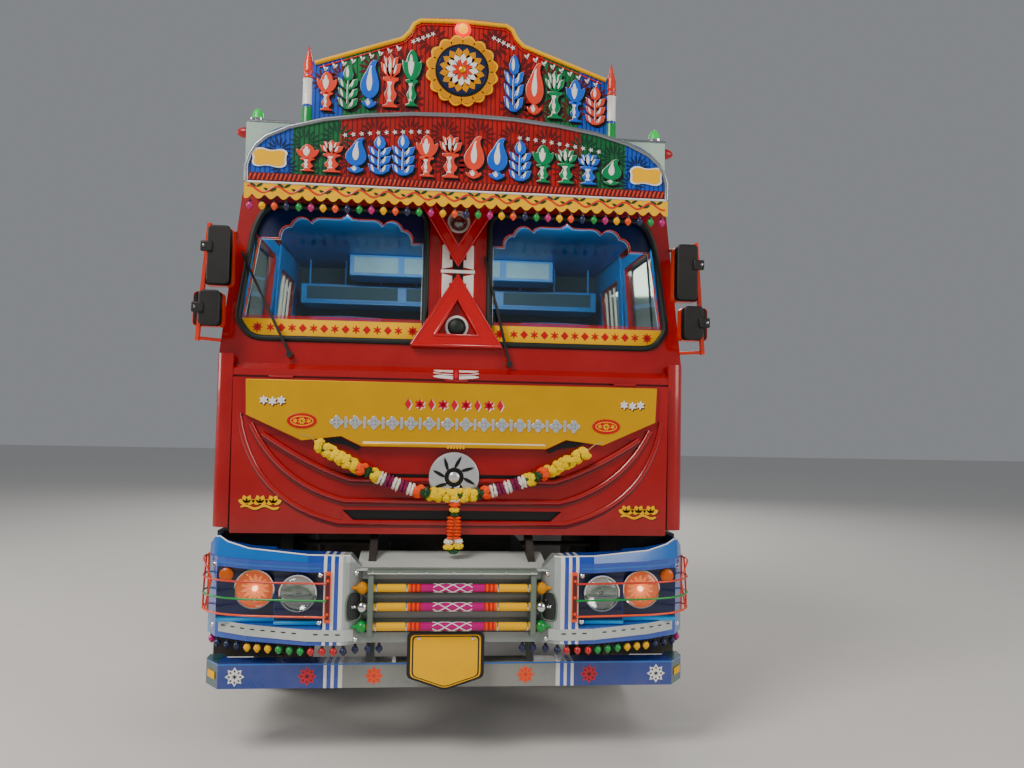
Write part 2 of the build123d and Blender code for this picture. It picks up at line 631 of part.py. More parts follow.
with BuildPart() as cab_roof:
    with BuildSketch(facing(VISOR_BACK)) as roof_outline:
        with BuildLine():
            Line((-CAB_TOP_HALF, EAVES_Z), (CAB_TOP_HALF, EAVES_Z))
            Line((CAB_TOP_HALF, EAVES_Z), (CAB_TOP_HALF, EAVES_Z + 22))
            ThreePointArc((CAB_TOP_HALF, EAVES_Z + 22), (0, ROOF_Z), (-CAB_TOP_HALF, EAVES_Z + 22))
            Line((-CAB_TOP_HALF, EAVES_Z + 22), (-CAB_TOP_HALF, EAVES_Z))
        make_face()
    extrude(roof_outline.sketch, amount=VISOR_BACK - CAB_BACK)
    with BuildSketch(facing(rake_top + WALL)) as ceiling:
        with BuildLine():
            Line((-1110, EAVES_Z), (1110, EAVES_Z))
            ThreePointArc((1110, EAVES_Z), (0, ROOF_Z - 42), (-1110, EAVES_Z))
        make_face()
    extrude(ceiling.sketch, amount=rake_top + 2 * WALL - CAB_BACK, mode=Mode.SUBTRACT)
keep(cab_roof.part, "cab_roof")

# Cab glass: two windscreen panes and the two sleeper windows

with BuildPart() as cab_glass:
    pane_prism(1, Mode.ADD)
    screen_slab(2000, 2870, 22, 28, 100, 1250, Mode.INTERSECT)
    with BuildPart(mode=Mode.PRIVATE) as sleeper_pane:
        from_front(GLASS_BAND, 1350, 2000)
        from_side(SLEEPER_WINDOW, 1000, 1300, Mode.INTERSECT)
    add(sleeper_pane.part)
    mirror(about=Plane.YZ)
keep(cab_glass.part, "cab_glass")

# Doors, hinged at their front edge, with their glass

HINGE_X = 1246.0
HINGE_STATION = DOOR_FRONT + 2.0
with BuildPart() as door_left:
    from_front(WALL_BAND, 300, 1300)
    from_side(DOOR_OUTLINE, 1000, 1300, Mode.INTERSECT)
    from_side(DOOR_WINDOW, 1000, 1300, Mode.SUBTRACT)
    wheel_arch(1000, 1300)
    for z in (1330, 1880):
        post(HINGE_X, HINGE_STATION, z, z + 90, 9)
        block(CAB_HALF, HINGE_X, HINGE_STATION + 2, HINGE_STATION + 60, z + 10, z + 80)
    block(CAB_HALF, CAB_HALF + 12, 1120, 1220, 1700, 1735)
keep(door_left.part, "door_left")

with BuildPart() as door_glass_left:
    from_front(GLASS_BAND, 400, 1200)
    from_side(DOOR_WINDOW, 1000, 1300, Mode.INTERSECT)
keep(door_glass_left.part, "door_glass_left")

with BuildPart() as door_right:
    mirror(door_left.part, about=Plane.YZ)
keep(door_right.part, "door_right")

with BuildPart() as door_glass_right:
    mirror(door_glass_left.part, about=Plane.YZ)
keep(door_glass_right.part, "door_glass_right")


# Visor: an arched board on a deep hood over the windscreen

def visor_prism(s0, s1, inset, base, mode=Mode.ADD):
    """The visor's arched outline, drawn smaller by an inset, between two stations."""
    half = VISOR_HALF - inset
    with BuildSketch(facing(s0)) as arch:
        with BuildLine():
            Polyline((-half, 2945), (-half, base), (half, base), (half, 2945))
            ThreePointArc((half, 2945), (half - 50, 3068), (half - 215, 3172 - inset))
            ThreePointArc((half - 215, 3172 - inset), (0, VISOR_TOP - inset), (215 - half, 3172 - inset))
            ThreePointArc((215 - half, 3172 - inset), (50 - half, 3068), (-half, 2945))
        make_face()
    extrude(arch.sketch, amount=s0 - s1, mode=mode)


with BuildPart() as visor_board:
    visor_prism(VISOR_STATION, VISOR_BACK, 0, EAVES_Z)
    visor_prism(VISOR_STATION + BOARD, VISOR_BACK, BOARD, EAVES_Z + BOARD, Mode.SUBTRACT)
    block(-VISOR_HALF, VISOR_HALF, VISOR_STATION, VISOR_STATION + BOARD, VALANCE_Z, EAVES_Z)
keep(visor_board.part, "visor_board")

# Crown board on the visor, with a spired post at each end

CROWN_EDGE = [(230, 3857), (262, 3835), (283, 3787), (330, 3748), (CROWN_HALF, 3586), (CROWN_HALF, 3150)]
MEDALLION = (-4.0, 3573.0, 186.0)
SPIRE = ((0, 3683), (7, 3640), (18, 3592), (24, 3560), (24, 3500), (19, 3490), (19, 3440), (26, 3430),
         (26, 3150), (0, 3150))
with BuildPart() as crown_board:
    with BuildSketch(facing(CROWN_STATION)) as crown_outline:
        with BuildLine():
            Polyline(*CROWN_EDGE, *[(-x, z) for x, z in reversed(CROWN_EDGE)])
            ThreePointArc((-230, 3857), (0, 3867), (230, 3857))
        make_face()
    extrude(crown_outline.sketch, amount=-BOARD)
    bar_along(MEDALLION[0], CROWN_STATION - 14, CROWN_STATION + 5, MEDALLION[1], MEDALLION[2])
    bar_along(MEDALLION[0], CROWN_STATION - 20, CROWN_STATION, MEDALLION[1], 150)
    for side in (-1, 1):
        with BuildSketch(Plane.XZ) as spire_profile:
            with BuildLine():
                Polyline(*SPIRE, close=True)
            make_face()
        with BuildPart(mode=Mode.PRIVATE) as spire:
            add(revolve(spire_profile.sketch, axis=Axis.Z, mode=Mode.PRIVATE))
        add(spire.part.moved(Location((side * 822, back(CROWN_STATION + 12), 0))))
    visor_prism(100, 320, 0, 2900, Mode.SUBTRACT)
keep(crown_board.part, "crown_board")

# Roof box behind the boards, with a dome lamp on each front corner

BOX_FRONT = 336.0
BOX_BACK = 1000.0
BOX_HALF = 1160.0
BOX_TOP = 3290.0
DOME_LAMP = ((0, 0), (42, 0), (42, 26), (30, 34), (26, 62), (12, 82), (0, 88))
MARKER_LAMP = ((0, 0), (0, 26), (16, 26), (28, 18), (62, 6), (66, 0))
with BuildPart() as roof_box:
    with BuildSketch(facing(BOX_FRONT)) as box_outline:
        with BuildLine():
            Polyline((CAB_TOP_HALF - 5, EAVES_Z + 22), (BOX_HALF, BOX_TOP), (-BOX_HALF, BOX_TOP),
                     (5 - CAB_TOP_HALF, EAVES_Z + 22))
            ThreePointArc((5 - CAB_TOP_HALF, EAVES_Z + 22), (0, ROOF_Z + 1),
                          (CAB_TOP_HALF - 5, EAVES_Z + 22))
        make_face()
    extrude(box_outline.sketch, amount=BOX_FRONT - BOX_BACK)
    for side in (-1, 1):
        with BuildSketch(Plane.XZ) as dome_profile:
            with BuildLine():
                Polyline(*DOME_LAMP, close=True)
            make_face()
        with BuildPart(mode=Mode.PRIVATE) as dome:
            add(revolve(dome_profile.sketch, axis=Axis.Z, mode=Mode.PRIVATE))
        add(dome.part.moved(Location((side * 1110, back(BOX_FRONT + 50), BOX_TOP - 5))))
        spun(MARKER_LAMP, side * (BOX_HALF - 5), BOX_FRONT + 60, 3240, side)
    with BuildPart(mode=Mode.PRIVATE) as roof_space:
        add(cab_roof.part)
    add(roof_space.part, mode=Mode.SUBTRACT)
keep(roof_box.part, "roof_box")

# Red triangles between the windscreens, standing proud of the frame

with BuildPart() as windscreen_triangles:
    from_front([(-200, 2866), (0, 2517), (200, 2866), (138, 2866), (0, 2640), (-138, 2866)], 100, 480)
    from_front([(0, 2475), (243, 2080), (-243, 2080)], 100, 480)
    from_front([(0, 2345), (122, 2135), (-122, 2135)], 100, 480, Mode.SUBTRACT)
    screen_slab(2000, 2868, -38, 0, -300, 300, Mode.INTERSECT)
keep(windscreen_triangles.part, "windscreen_triangles")

# Wipers: (name, pivot x, pivot z, blade middle x, z, blade length)

WIPER_TABLE = (("wiper_left", 285.0, 1989.0, 205.0, 2330.0, 520.0),
               ("wiper_right", -871.0, 2011.0, -1022.0, 2310.0, 560.0))
SCREEN_NORMAL = (0, -1, SCREEN_RAKE)


def screen_plane(x, z, lift):
    """A plane parallel to the windscreen, this far in front of its outer plane."""
    return Plane(origin=(x, back(screen_at(z)), z), x_dir=(1, 0, 0), z_dir=SCREEN_NORMAL).offset(lift)


for label, pivot_x, pivot_z, blade_x, blade_z, blade_length in WIPER_TABLE:
    run_x, run_z = blade_x - pivot_x, blade_z - pivot_z
    reach = (run_x ** 2 + run_z ** 2) ** 0.5
    lean = degrees(atan2(-run_x, run_z))
    with BuildPart() as wiper:
        with BuildSketch(screen_plane(pivot_x, pivot_z, 20)) as arm:
            with Locations(Location((run_x / 2, run_z / 2), lean)):
                Rectangle(14, reach)
            Circle(17)
        extrude(arm.sketch, amount=10)
        with BuildSketch(screen_plane(pivot_x, pivot_z, 8)) as blade:
            with Locations(Location((run_x, run_z), lean)):
                Rectangle(12, blade_length)
        extrude(blade.sketch, amount=12)
        with BuildSketch(screen_plane(pivot_x, pivot_z, 0)) as boss:
            Circle(12)
        extrude(boss.sketch, amount=20)
    keep(wiper.part, label)

# Mirrors: a flat bar on two rods each side, carrying two housings

with BuildPart() as mirrors:
    from_front([(1272, 2672), (1290, 2672), (1332, 2066), (1314, 2066)], 118, 148)
    for inner_x, inner_s, outer_x, z in ((1180, 302, 1276, 2660), (1231, 236, 1318, 2080)):
        with BuildLine() as rod_line:
            Line((inner_x, back(inner_s), z), (outer_x, back(133), z))
        with BuildSketch(Plane(origin=rod_line.line @ 0, z_dir=rod_line.line % 0)) as rod:
            Circle(9)
        sweep(rod.sketch, path=rod_line.line)
    for housing_x, housing_z, width, height in ((1228, 2500, 136, 300), (1275, 2230, 150, 180)):
        with BuildSketch(facing(132)):
            with Locations((housing_x, housing_z)):
                RectangleRounded(width, height, 24)
        extrude(amount=-58)
    from_front(WALL_BAND, CAB_NOSE, CAB_BACK, Mode.SUBTRACT)
    mirror(about=Plane.YZ)
keep(mirrors.part, "mirrors")

# Inside the cab: cushions, dashboard and steering wheel

with BuildPart() as seat_cushions:
    for side in (-1, 1):
        x0, x1 = sorted((side * 470, side * 970))
        block(x0, x1, 960, 1420, 1640, 1780)
        from_side([(1420, 1640), (1500, 1640), (1560, 2380), (1470, 2380)], x0, x1)
    block(-1140, 1140, 1585, CAB_BACK - WALL - 4, 1640, 1750)
keep(seat_cushions.part, "seat_cushions")

with BuildPart() as dashboard:
    from_side([(330, 1560), (330, 1980), (560, 2030), (660, 1960), (640, 1800), (520, 1560)],
              -1150, 1150)
    block(-900, 900, 215, 330, 1700, 1760)
keep(dashboard.part, "dashboard")

WHEEL_CENTRE = (-640.0, 840.0, 2110.0)
WHEEL_TILT = 32.0
with BuildPart() as steering_wheel:
    hub_plane = Plane(origin=(WHEEL_CENTRE[0], back(WHEEL_CENTRE[1]), WHEEL_CENTRE[2]),
                      x_dir=(1, 0, 0), z_dir=(0, sin(radians(WHEEL_TILT)), cos(radians(WHEEL_TILT))))
    with BuildPart(mode=Mode.PRIVATE) as rim:
        with BuildSketch(Plane.XZ) as grip:
            with Locations((225, 0)):
                RegularPolygon(14, 6)
        revolve(grip.sketch, axis=Axis.Z)
        with PolarLocations(110, 3, start_angle=30):
            Box(215, 26, 10)
        Cylinder(55, 30)
        Cylinder(26, 230, align=(Align.CENTER, Align.CENTER, Align.MAX))
    add(rim.part.moved(hub_plane.location))
keep(steering_wheel.part, "steering_wheel")

# Front panel: stepped smile-shaped recesses, two slots and the raised gold field

GOLD = [(1081, 1880), (1075, 1695), (790, 1566), (590, 1592), (483, 1541)]
SMILES = ((1105, 1700, 945, 1340, 590, 1150, 7), (1045, 1650, 850, 1400, 560, 1262, 14),
          (985, 1600, 750, 1460, 530, 1370, 21))
with BuildPart() as front_panel:
    from_front(both([(PANEL_HALF, PANEL_TOP), (1132, PANEL_BASE)]), PANEL_STATION,
               PANEL_STATION + PANEL_DEPTH)
    for end_x, end_z, mid_x, mid_z, low_x, low_z, depth in SMILES:
        with BuildSketch(facing(PANEL_STATION)) as smile:
            with BuildLine():
                Line((-end_x, end_z), (end_x, end_z))
                ThreePointArc((end_x, end_z), (mid_x, mid_z), (low_x, low_z))
                Line((low_x, low_z), (-low_x, low_z))
                ThreePointArc((-low_x, low_z), (-mid_x, mid_z), (-end_x, end_z))
            make_face()
        extrude(smile.sketch, amount=-depth, mode=Mode.SUBTRACT)
    block(-570, 570, PANEL_STATION, PANEL_STATION + 28, 1160, 1215, Mode.SUBTRACT)
    block(-620, 620, PANEL_STATION, PANEL_STATION + 32, 1374, 1402, Mode.SUBTRACT)
    from_front(both(GOLD), PANEL_STATION - 12, PANEL_STATION + 30)
    for hinge_x in (-900, 0, 900):
        bar_across(hinge_x - 60, hinge_x + 60, PANEL_STATION, PANEL_TOP + 5, 7)
    bar_along(0, PANEL_STATION - 10, PANEL_STATION + 30, 1390, 125)
    bar_along(0, PANEL_STATION - 12, PANEL_STATION, 1390, 95, Mode.SUBTRACT)
    bar_along(0, PANEL_STATION - 14, PANEL_STATION, 1390, 60)
    for tie_x, tie_z in ((-694, 1549), (684, 1531)):
        bar_along(tie_x, GARLAND_STATION + GARLAND_R, PANEL_STATION + 25, tie_z, 6)
keep(front_panel.part, "front_panel")

# Garland: a flower rope that hangs between two ties, and the tassel under its middle

GARLAND_ROUTE = ((-700, 1552), (-585, 1482), (-454, 1418), (-322, 1362), (-192, 1318), (-62, 1297),
                 (72, 1299), (200, 1322), (330, 1362), (457, 1412), (580, 1472), (690, 1534))


def swag_rounds(points):
    """The largest arc that each corner's two runs leave room for."""
    rounds = []
    for before, here, after in zip(points, points[1:], points[2:]):
        turn = (here - before).get_angle(after - here)
        shorter = min((here - before).length, (after - here).length)
        rounds.append(0.45 * shorter / tan(radians(turn / 2)))
    return rounds


route = [Vector(x, back(GARLAND_STATION), z) for x, z in GARLAND_ROUTE]
with BuildPart() as garland:
    with BuildLine() as garland_line:
        FilletPolyline(*route, radius=swag_rounds(route))
    with BuildSketch(Plane(origin=garland_line.line @ 0, z_dir=garland_line.line % 0)) as rope:
        Circle(GARLAND_R)
    sweep(rope.sketch, path=garland_line.line)
keep(garland.part, "garland")
print("garland radii", [round(r) for r in swag_rounds(route)])
print("garland length", round(sum(edge.length for edge in garland_line.line.edges())))

with BuildPart() as garland_tassel:
    post(5, GARLAND_STATION, 1010, 1268, 26)
keep(garland_tassel.part, "garland_tassel")

# Steering knuckles: a forked yoke on the kingpin, the spindle and the track rod arm

TRACK_ROD_Z = 399.0
PIN_R = 12.0
with BuildPart() as knuckle_left:
    for z0, z1 in ((EYE_HIGH + 1, EYE_HIGH + 38), (EYE_LOW - 38, EYE_LOW - 1)):
        from_above([(KINGPIN_X, FRONT_AXLE - 46), (905, FRONT_AXLE - 46), (905, FRONT_AXLE + 46),
                    (KINGPIN_X, FRONT_AXLE + 46)], z0, z1)
        post(KINGPIN_X, FRONT_AXLE, z0, z1, 46)
    block(876, 905, FRONT_AXLE - 46, FRONT_AXLE + 46, EYE_LOW - 38, EYE_HIGH + 38)
    post(KINGPIN_X, FRONT_AXLE, EYE_LOW - 38, EYE_HIGH + 38, KINGPIN_R)
    bar_across(905, 1084, FRONT_AXLE, AXLE_Z, SPINDLE_R)
    block(KINGPIN_X - 20, KINGPIN_X + 20, FRONT_AXLE + 30, FRONT_AXLE + STEER_ARM,
          EYE_LOW - 38, EYE_LOW - 8)
    post(KINGPIN_X, FRONT_AXLE + STEER_ARM, EYE_LOW - 38, EYE_LOW - 8, 24)
    post(KINGPIN_X, FRONT_AXLE + STEER_ARM, TRACK_ROD_Z - 22, EYE_LOW - 38, PIN_R)
keep(knuckle_left.part, "knuckle_left")

with BuildPart() as knuckle_right:
    mirror(knuckle_left.part, about=Plane.YZ)
keep(knuckle_right.part, "knuckle_right")

with BuildPart() as track_rod:
    rod_station = FRONT_AXLE + STEER_ARM
    bar_across(-KINGPIN_X + 18, KINGPIN_X - 18, rod_station, TRACK_ROD_Z, 15)
    for side, bore in ((1, PIN_R + RUNNING_GAP), (-1, PIN_R + 3)):
        post(side * KINGPIN_X, rod_station, TRACK_ROD_Z - 14, TRACK_ROD_Z + 14, 27)
        post(side * KINGPIN_X, rod_station, TRACK_ROD_Z - 40, TRACK_ROD_Z + 40, bore, Mode.SUBTRACT)
keep(track_rod.part, "track_rod")

# Wheels: profiles of (distance outwards from the tyre's middle, radius) points

TYRE = ((-112, RIM_R + 0.3), (-112, 268), (-147, 350), (-145, 450), (-125, 506), (-98, TYRE_R),
        (98, TYRE_R), (125, 506), (145, 450), (147, 350), (112, 268), (112, RIM_R + 0.3))
RIM_BARREL = ((-121, 236), (-121, 266), (-113, 266), (-113, RIM_R), (113, RIM_R), (113, 266),
              (121, 266), (121, 236))
FRONT_DISC = ((60, 236), (98, 160), (98, 92), (135, 80), (135, 0), (75, 0),
              (75, SPINDLE_R + RUNNING_GAP), (-103, SPINDLE_R + RUNNING_GAP), (-103, 190), (-20, 190),
              (-20, 92), (78, 92), (78, 150), (40, 236))
REAR_DISC = ((-60, 236), (-156, 150), (-156, 90), (-168, 90), (-168, 165), (-90, 236))
REAR_HUB = ((-315, REAR_SPINDLE_R + RUNNING_GAP), (-315, 195), (-190, 195), (-190, 110), (95, 110),
            (95, 95), (150, 88), (150, 0), (90, 0), (90, REAR_SPINDLE_R + RUNNING_GAP))
HAND_HOLES = 8
HAND_HOLE_R = 24.0
HAND_HOLE_CIRCLE = 196.0


def hand_holes(x0, x1, station):
    """The ring of round holes through a wheel's disc, between two values of x."""
    with BuildSketch(Plane.YZ.offset(x0)) as holes:
        with Locations((back(station), AXLE_Z)):
            with PolarLocations(HAND_HOLE_CIRCLE, HAND_HOLES):
                Circle(HAND_HOLE_R)
    extrude(holes.sketch, amount=x1 - x0, mode=Mode.SUBTRACT)


for side, name in ((1, "left"), (-1, "right")):
    with BuildPart() as front_tyre:
        spun(TYRE, side * FRONT_WHEEL_X, FRONT_AXLE, AXLE_Z, side)
    keep(front_tyre.part, f"front_tyre_{name}")
    with BuildPart() as front_rim:
        spun(RIM_BARREL + FRONT_DISC, side * FRONT_WHEEL_X, FRONT_AXLE, AXLE_Z, side)
        hand_holes(side * (FRONT_WHEEL_X + 30), side * (FRONT_WHEEL_X + 110), FRONT_AXLE)
    keep(front_rim.part, f"front_rim_{name}")
    with BuildPart() as rear_tyres:
        for offset in (-DUAL_HALF, DUAL_HALF):
            spun(TYRE, side * (REAR_WHEEL_X + offset), REAR_AXLE, AXLE_Z, side)
    keep(rear_tyres.part, f"rear_tyres_{name}")
    with BuildPart() as rear_rims:
        for offset, facing_way in ((DUAL_HALF, side), (-DUAL_HALF, -side)):
            spun(RIM_BARREL + REAR_DISC, side * (REAR_WHEEL_X + offset), REAR_AXLE, AXLE_Z, facing_way)
        spun(REAR_HUB, side * REAR_WHEEL_X, REAR_AXLE, AXLE_Z, side)
        hand_holes(side * (REAR_WHEEL_X - 115), side * (REAR_WHEEL_X + 125), REAR_AXLE)
    keep(rear_rims.part, f"rear_rims_{name}")
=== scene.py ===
"""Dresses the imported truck: painted boards, lamps, flowers, cab trim, wheels and chassis fittings.

Sizes in this file are millimetres, as in the CAD source: x across the truck, a station for how
far a point lies behind the low bumper bar, and z above the ground. at() turns them to metres.
"""

import random
from math import cos, pi, radians, sin

import bmesh
import bpy
from bpy.props import FloatProperty, FloatVectorProperty, IntProperty, PointerProperty
from mathutils import Matrix, Vector


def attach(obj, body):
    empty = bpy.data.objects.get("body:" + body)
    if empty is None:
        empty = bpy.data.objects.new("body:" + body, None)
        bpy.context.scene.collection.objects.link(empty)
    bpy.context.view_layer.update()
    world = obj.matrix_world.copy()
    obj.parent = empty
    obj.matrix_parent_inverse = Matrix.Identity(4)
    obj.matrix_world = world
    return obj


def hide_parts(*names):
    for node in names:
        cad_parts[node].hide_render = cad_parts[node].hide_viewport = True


bl_info = {
    "name": "Decorated tractor truck",
    "version": (1, 0, 0),
    "blender": (4, 5, 0),
    "location": "3D View > Sidebar > Truck",
    "description": "Dresses a decorated tractor truck around its packed CAD model",
    "category": "Object",
}

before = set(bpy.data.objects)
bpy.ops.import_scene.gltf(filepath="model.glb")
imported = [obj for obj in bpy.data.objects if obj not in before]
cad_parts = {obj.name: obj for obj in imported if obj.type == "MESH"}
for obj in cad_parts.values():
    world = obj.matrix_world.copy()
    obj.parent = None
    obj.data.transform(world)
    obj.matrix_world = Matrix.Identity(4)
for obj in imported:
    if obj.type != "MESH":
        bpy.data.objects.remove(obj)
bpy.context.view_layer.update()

BAR_FACE_Y = -2712.5
SIDES = ((-1, "right"), (1, "left"))
FORWARDS = (0, -1, 0)
FRONT_AXLE, REAR_AXLE, AXLE_Z, TYRE_R = 1380, 4700, 519, 519
SCREEN_STATION, SCREEN_RAKE, SCREEN_REF_Z = 235, 0.10, 2050
VISOR_STATION, CROWN_STATION, PANEL_STATION = 40, 214, 140
PANE = ((172, 2100), (1080, 2100), (1146, 2190), (1150, 2225), (1092, 2700), (1030, 2822), (172, 2822))
GOLD = ((1081, 1880), (1075, 1695), (790, 1566), (590, 1592), (483, 1541))
BELT_Z, EAVES_Z = 2020, 2870
CAB_HALF, CAB_TOP_HALF = 1235, 1165


# Places and surfaces

def at(x, station, z):
    """A point in the row frame, from millimetres across, behind the low bar, and up."""
    return Vector((x, BAR_FACE_Y + station, z)) / 1000


def both_at(x, station, z):
    """The same place on both sides of the truck."""
    return [at(side * x, station, z) for side in (-1, 1)]


def mirrored_points(lines):
    return [*lines, *[[Vector((-p.x, p.y, p.z)) for p in line] for line in lines]]


def upright(station):
    """An upright surface that faces forwards: (x, z, lift) to a point."""
    return lambda x, z, lift: at(x, station - lift, z)


def rearwards(station):
    """An upright surface that faces backwards."""
    return lambda x, z, lift: at(x, station + lift, z)


def on_screen(x, z, lift):
    """The raked windscreen frame's outer plane."""
    return at(x, SCREEN_STATION + SCREEN_RAKE * (z - SCREEN_REF_Z) - lift, z)


def side_x(z):
    """Half width of the cab's skin at a height."""
    return CAB_HALF - max(0, z - BELT_Z) * (CAB_HALF - CAB_TOP_HALF) / (EAVES_Z - BELT_Z)


def on_side(side):
    """The cab's side skin: (station, z, lift) to a point."""
    return lambda station, z, lift: at(side * (side_x(z) + lift), station, z)


def along(path):
    """A surface that stands upright on a plan path of (x, station) points, mirrored in x."""
    def place(x, z, lift):
        reach = min(abs(x), path[-1][0])
        for (x0, s0), (x1, s1) in zip(path, path[1:]):
            if reach <= x1:
                break
        share = (reach - x0) / (x1 - x0)
        run = Vector((x1 - x0, s1 - s0)).normalized()
        sign = 1 if x >= 0 else -1
        return at(sign * (reach + run.y * lift), s0 + share * (s1 - s0) - run.x * lift, z)
    return place


BUMPER_PATH = ((0, -60), (440, -60), (520, -112), (700, -112), (1000, -20), (1170, 75), (1234, 190))
LOW_BAR_PATH = ((0, 0), (1133, 0), (1212, 105))
on_bumper = along(BUMPER_PATH)
on_low_bar = along(LOW_BAR_PATH)


# Outlines

def circle(x, z, radius, steps):
    return [(x + radius * cos(2 * pi * i / steps), z + radius * sin(2 * pi * i / steps)) for i in range(steps)]


def wavy_circle(x, z, radius, depth, lobes, steps=8):
    """A round outline with scalloped lobes."""
    count = lobes * steps
    return [(x + (radius - depth * (1 - abs(sin(pi * i / steps)))) * cos(2 * pi * i / count),
             z + (radius - depth * (1 - abs(sin(pi * i / steps)))) * sin(2 * pi * i / count)) for i in range(count)]


def star(x, z, outer, inner, points):
    """A star with its first point straight up."""
    return [(x + (inner if i % 2 else outer) * cos(pi / 2 + pi * i / points),
             z + (inner if i % 2 else outer) * sin(pi / 2 + pi * i / points)) for i in range(2 * points)]


def rectangle(x0, x1, z0, z1):
    return [(x0, z0), (x1, z0), (x1, z1), (x0, z1)]


def lozenge(x, z, half_width, half_height):
    return [(x, z - half_height), (x + half_width, z), (x, z + half_height), (x - half_width, z)]


def softened(points, rounds=1):
    """Cuts an outline's corners, so that it runs in curves."""
    for _ in range(rounds):
        points = [((1 - t) * x0 + t * x1, (1 - t) * z0 + t * z1)
                  for (x0, z0), (x1, z1) in zip(points, points[1:] + points[:1]) for t in (0.25, 0.75)]
    return points


def rounded(points, reach, steps=4):
    """A closed outline whose corners are eased from this far before to this far after."""
    line = []
    for place, here in enumerate(points):
        before, after = points[place - 1], points[(place + 1) % len(points)]
        corner = Vector(here)
        runs = [Vector(before) - corner, Vector(after) - corner]
        start, end = [corner + run.normalized() * min(reach, 0.45 * run.length) for run in runs]
        for i in range(steps + 1):
            t = i / steps
            line.append(tuple((1 - t) ** 2 * start + 2 * t * (1 - t) * corner + t * t * end))
    return line


def direction_at(line, i):
    """Which way a line of points runs at one of them."""
    (x0, z0), (x1, z1) = line[max(i - 1, 0)], line[min(i + 1, len(line) - 1)]
    return Vector((x1 - x0, z1 - z0)).normalized()


def stroke(points, widths):
    """The outline of a brush stroke along points, with a width at each."""
    left, right = [], []
    for i, ((x, z), width) in enumerate(zip(points, widths)):
        run = direction_at(points, i)
        left.append((x - run.y * width / 2, z + run.x * width / 2))
        right.append((x + run.y * width / 2, z - run.x * width / 2))
    return left + right[::-1]


def moved(outline, dx, dz, scale_x=1.0, scale_z=None, turn=0.0):
    """An outline that is scaled, turned and then moved."""
    scale_z = scale_x if scale_z is None else scale_z
    return [(dx + scale_x * x * cos(turn) - scale_z * z * sin(turn),
             dz + scale_x * x * sin(turn) + scale_z * z * cos(turn)) for x, z in outline]


def shrunk(outline, x, z, share_x, share_z):
    """An outline drawn smaller about a point."""
    return [(x + share_x * (px - x), z + share_z * (pz - z)) for px, pz in outline]


def both_sides(outlines):
    return [*outlines, *[[(-x, z) for x, z in outline] for outline in outlines]]


PETAL = [(0, 0), (0.16, 0.2), (0.2, 0.5), (0.13, 0.8), (0, 1), (-0.13, 0.8), (-0.2, 0.5), (-0.16, 0.2)]
PAISLEY = softened(
    [(0.5, 0.0), (0.74, 0.04), (0.92, 0.18), (0.97, 0.36), (0.9, 0.56), (0.78, 0.74), (0.76, 0.88), (0.88, 1.0),
     (0.62, 0.98), (0.46, 0.86), (0.34, 0.7), (0.14, 0.52), (0.05, 0.36), (0.1, 0.18), (0.28, 0.04)])
LOTUS = softened([(0.5, 0.0), (0.64, 0.08), (0.82, 0.2), (0.96, 0.42), (1.0, 0.7), (0.8, 0.56), (0.74, 0.8),
                  (0.5, 1.0), (0.26, 0.8), (0.2, 0.56), (0.0, 0.7), (0.04, 0.42), (0.18, 0.2), (0.36, 0.08)])
BALUSTER_HALF = ((0.42, 0), (0.42, 0.07), (0.22, 0.11), (0.17, 0.2), (0.32, 0.33), (0.36, 0.46), (0.22, 0.6),
                 (0.17, 0.74), (0.26, 0.84), (0.44, 0.9), (0.44, 1.0))
BALUSTER = [*[(0.5 + w, h) for w, h in BALUSTER_HALF], *[(0.5 - w, h) for w, h in reversed(BALUSTER_HALF)]]


def petals(x, z, radius, count, start=0.0, sweep=2 * pi, inner=0.0, slim=1.0):
    """A fan or rosette of thin petals about a point."""
    step = sweep / count
    return [moved([(px * slim, inner + (1 - inner) * pz) for px, pz in PETAL], x, z, radius,
                  turn=start + step * (i + 0.5) - pi / 2) for i in range(count)]


# Pieces

BLOCK_FACES = ((0, 1, 3, 2), (4, 6, 7, 5), (0, 4, 5, 1), (2, 3, 7, 6), (0, 2, 6, 4), (1, 5, 7, 3))
BEAD_SECTION = ((-1, 0), (-0.75, 0.62), (0, 1), (0.75, 0.62), (1, 0))


def block(side, x0, x1, *rest):
    """A block's limits on one side of the truck: (x0, x1, station0, station1, z0, z1)."""
    return (*sorted((side * x0, side * x1)), *rest)


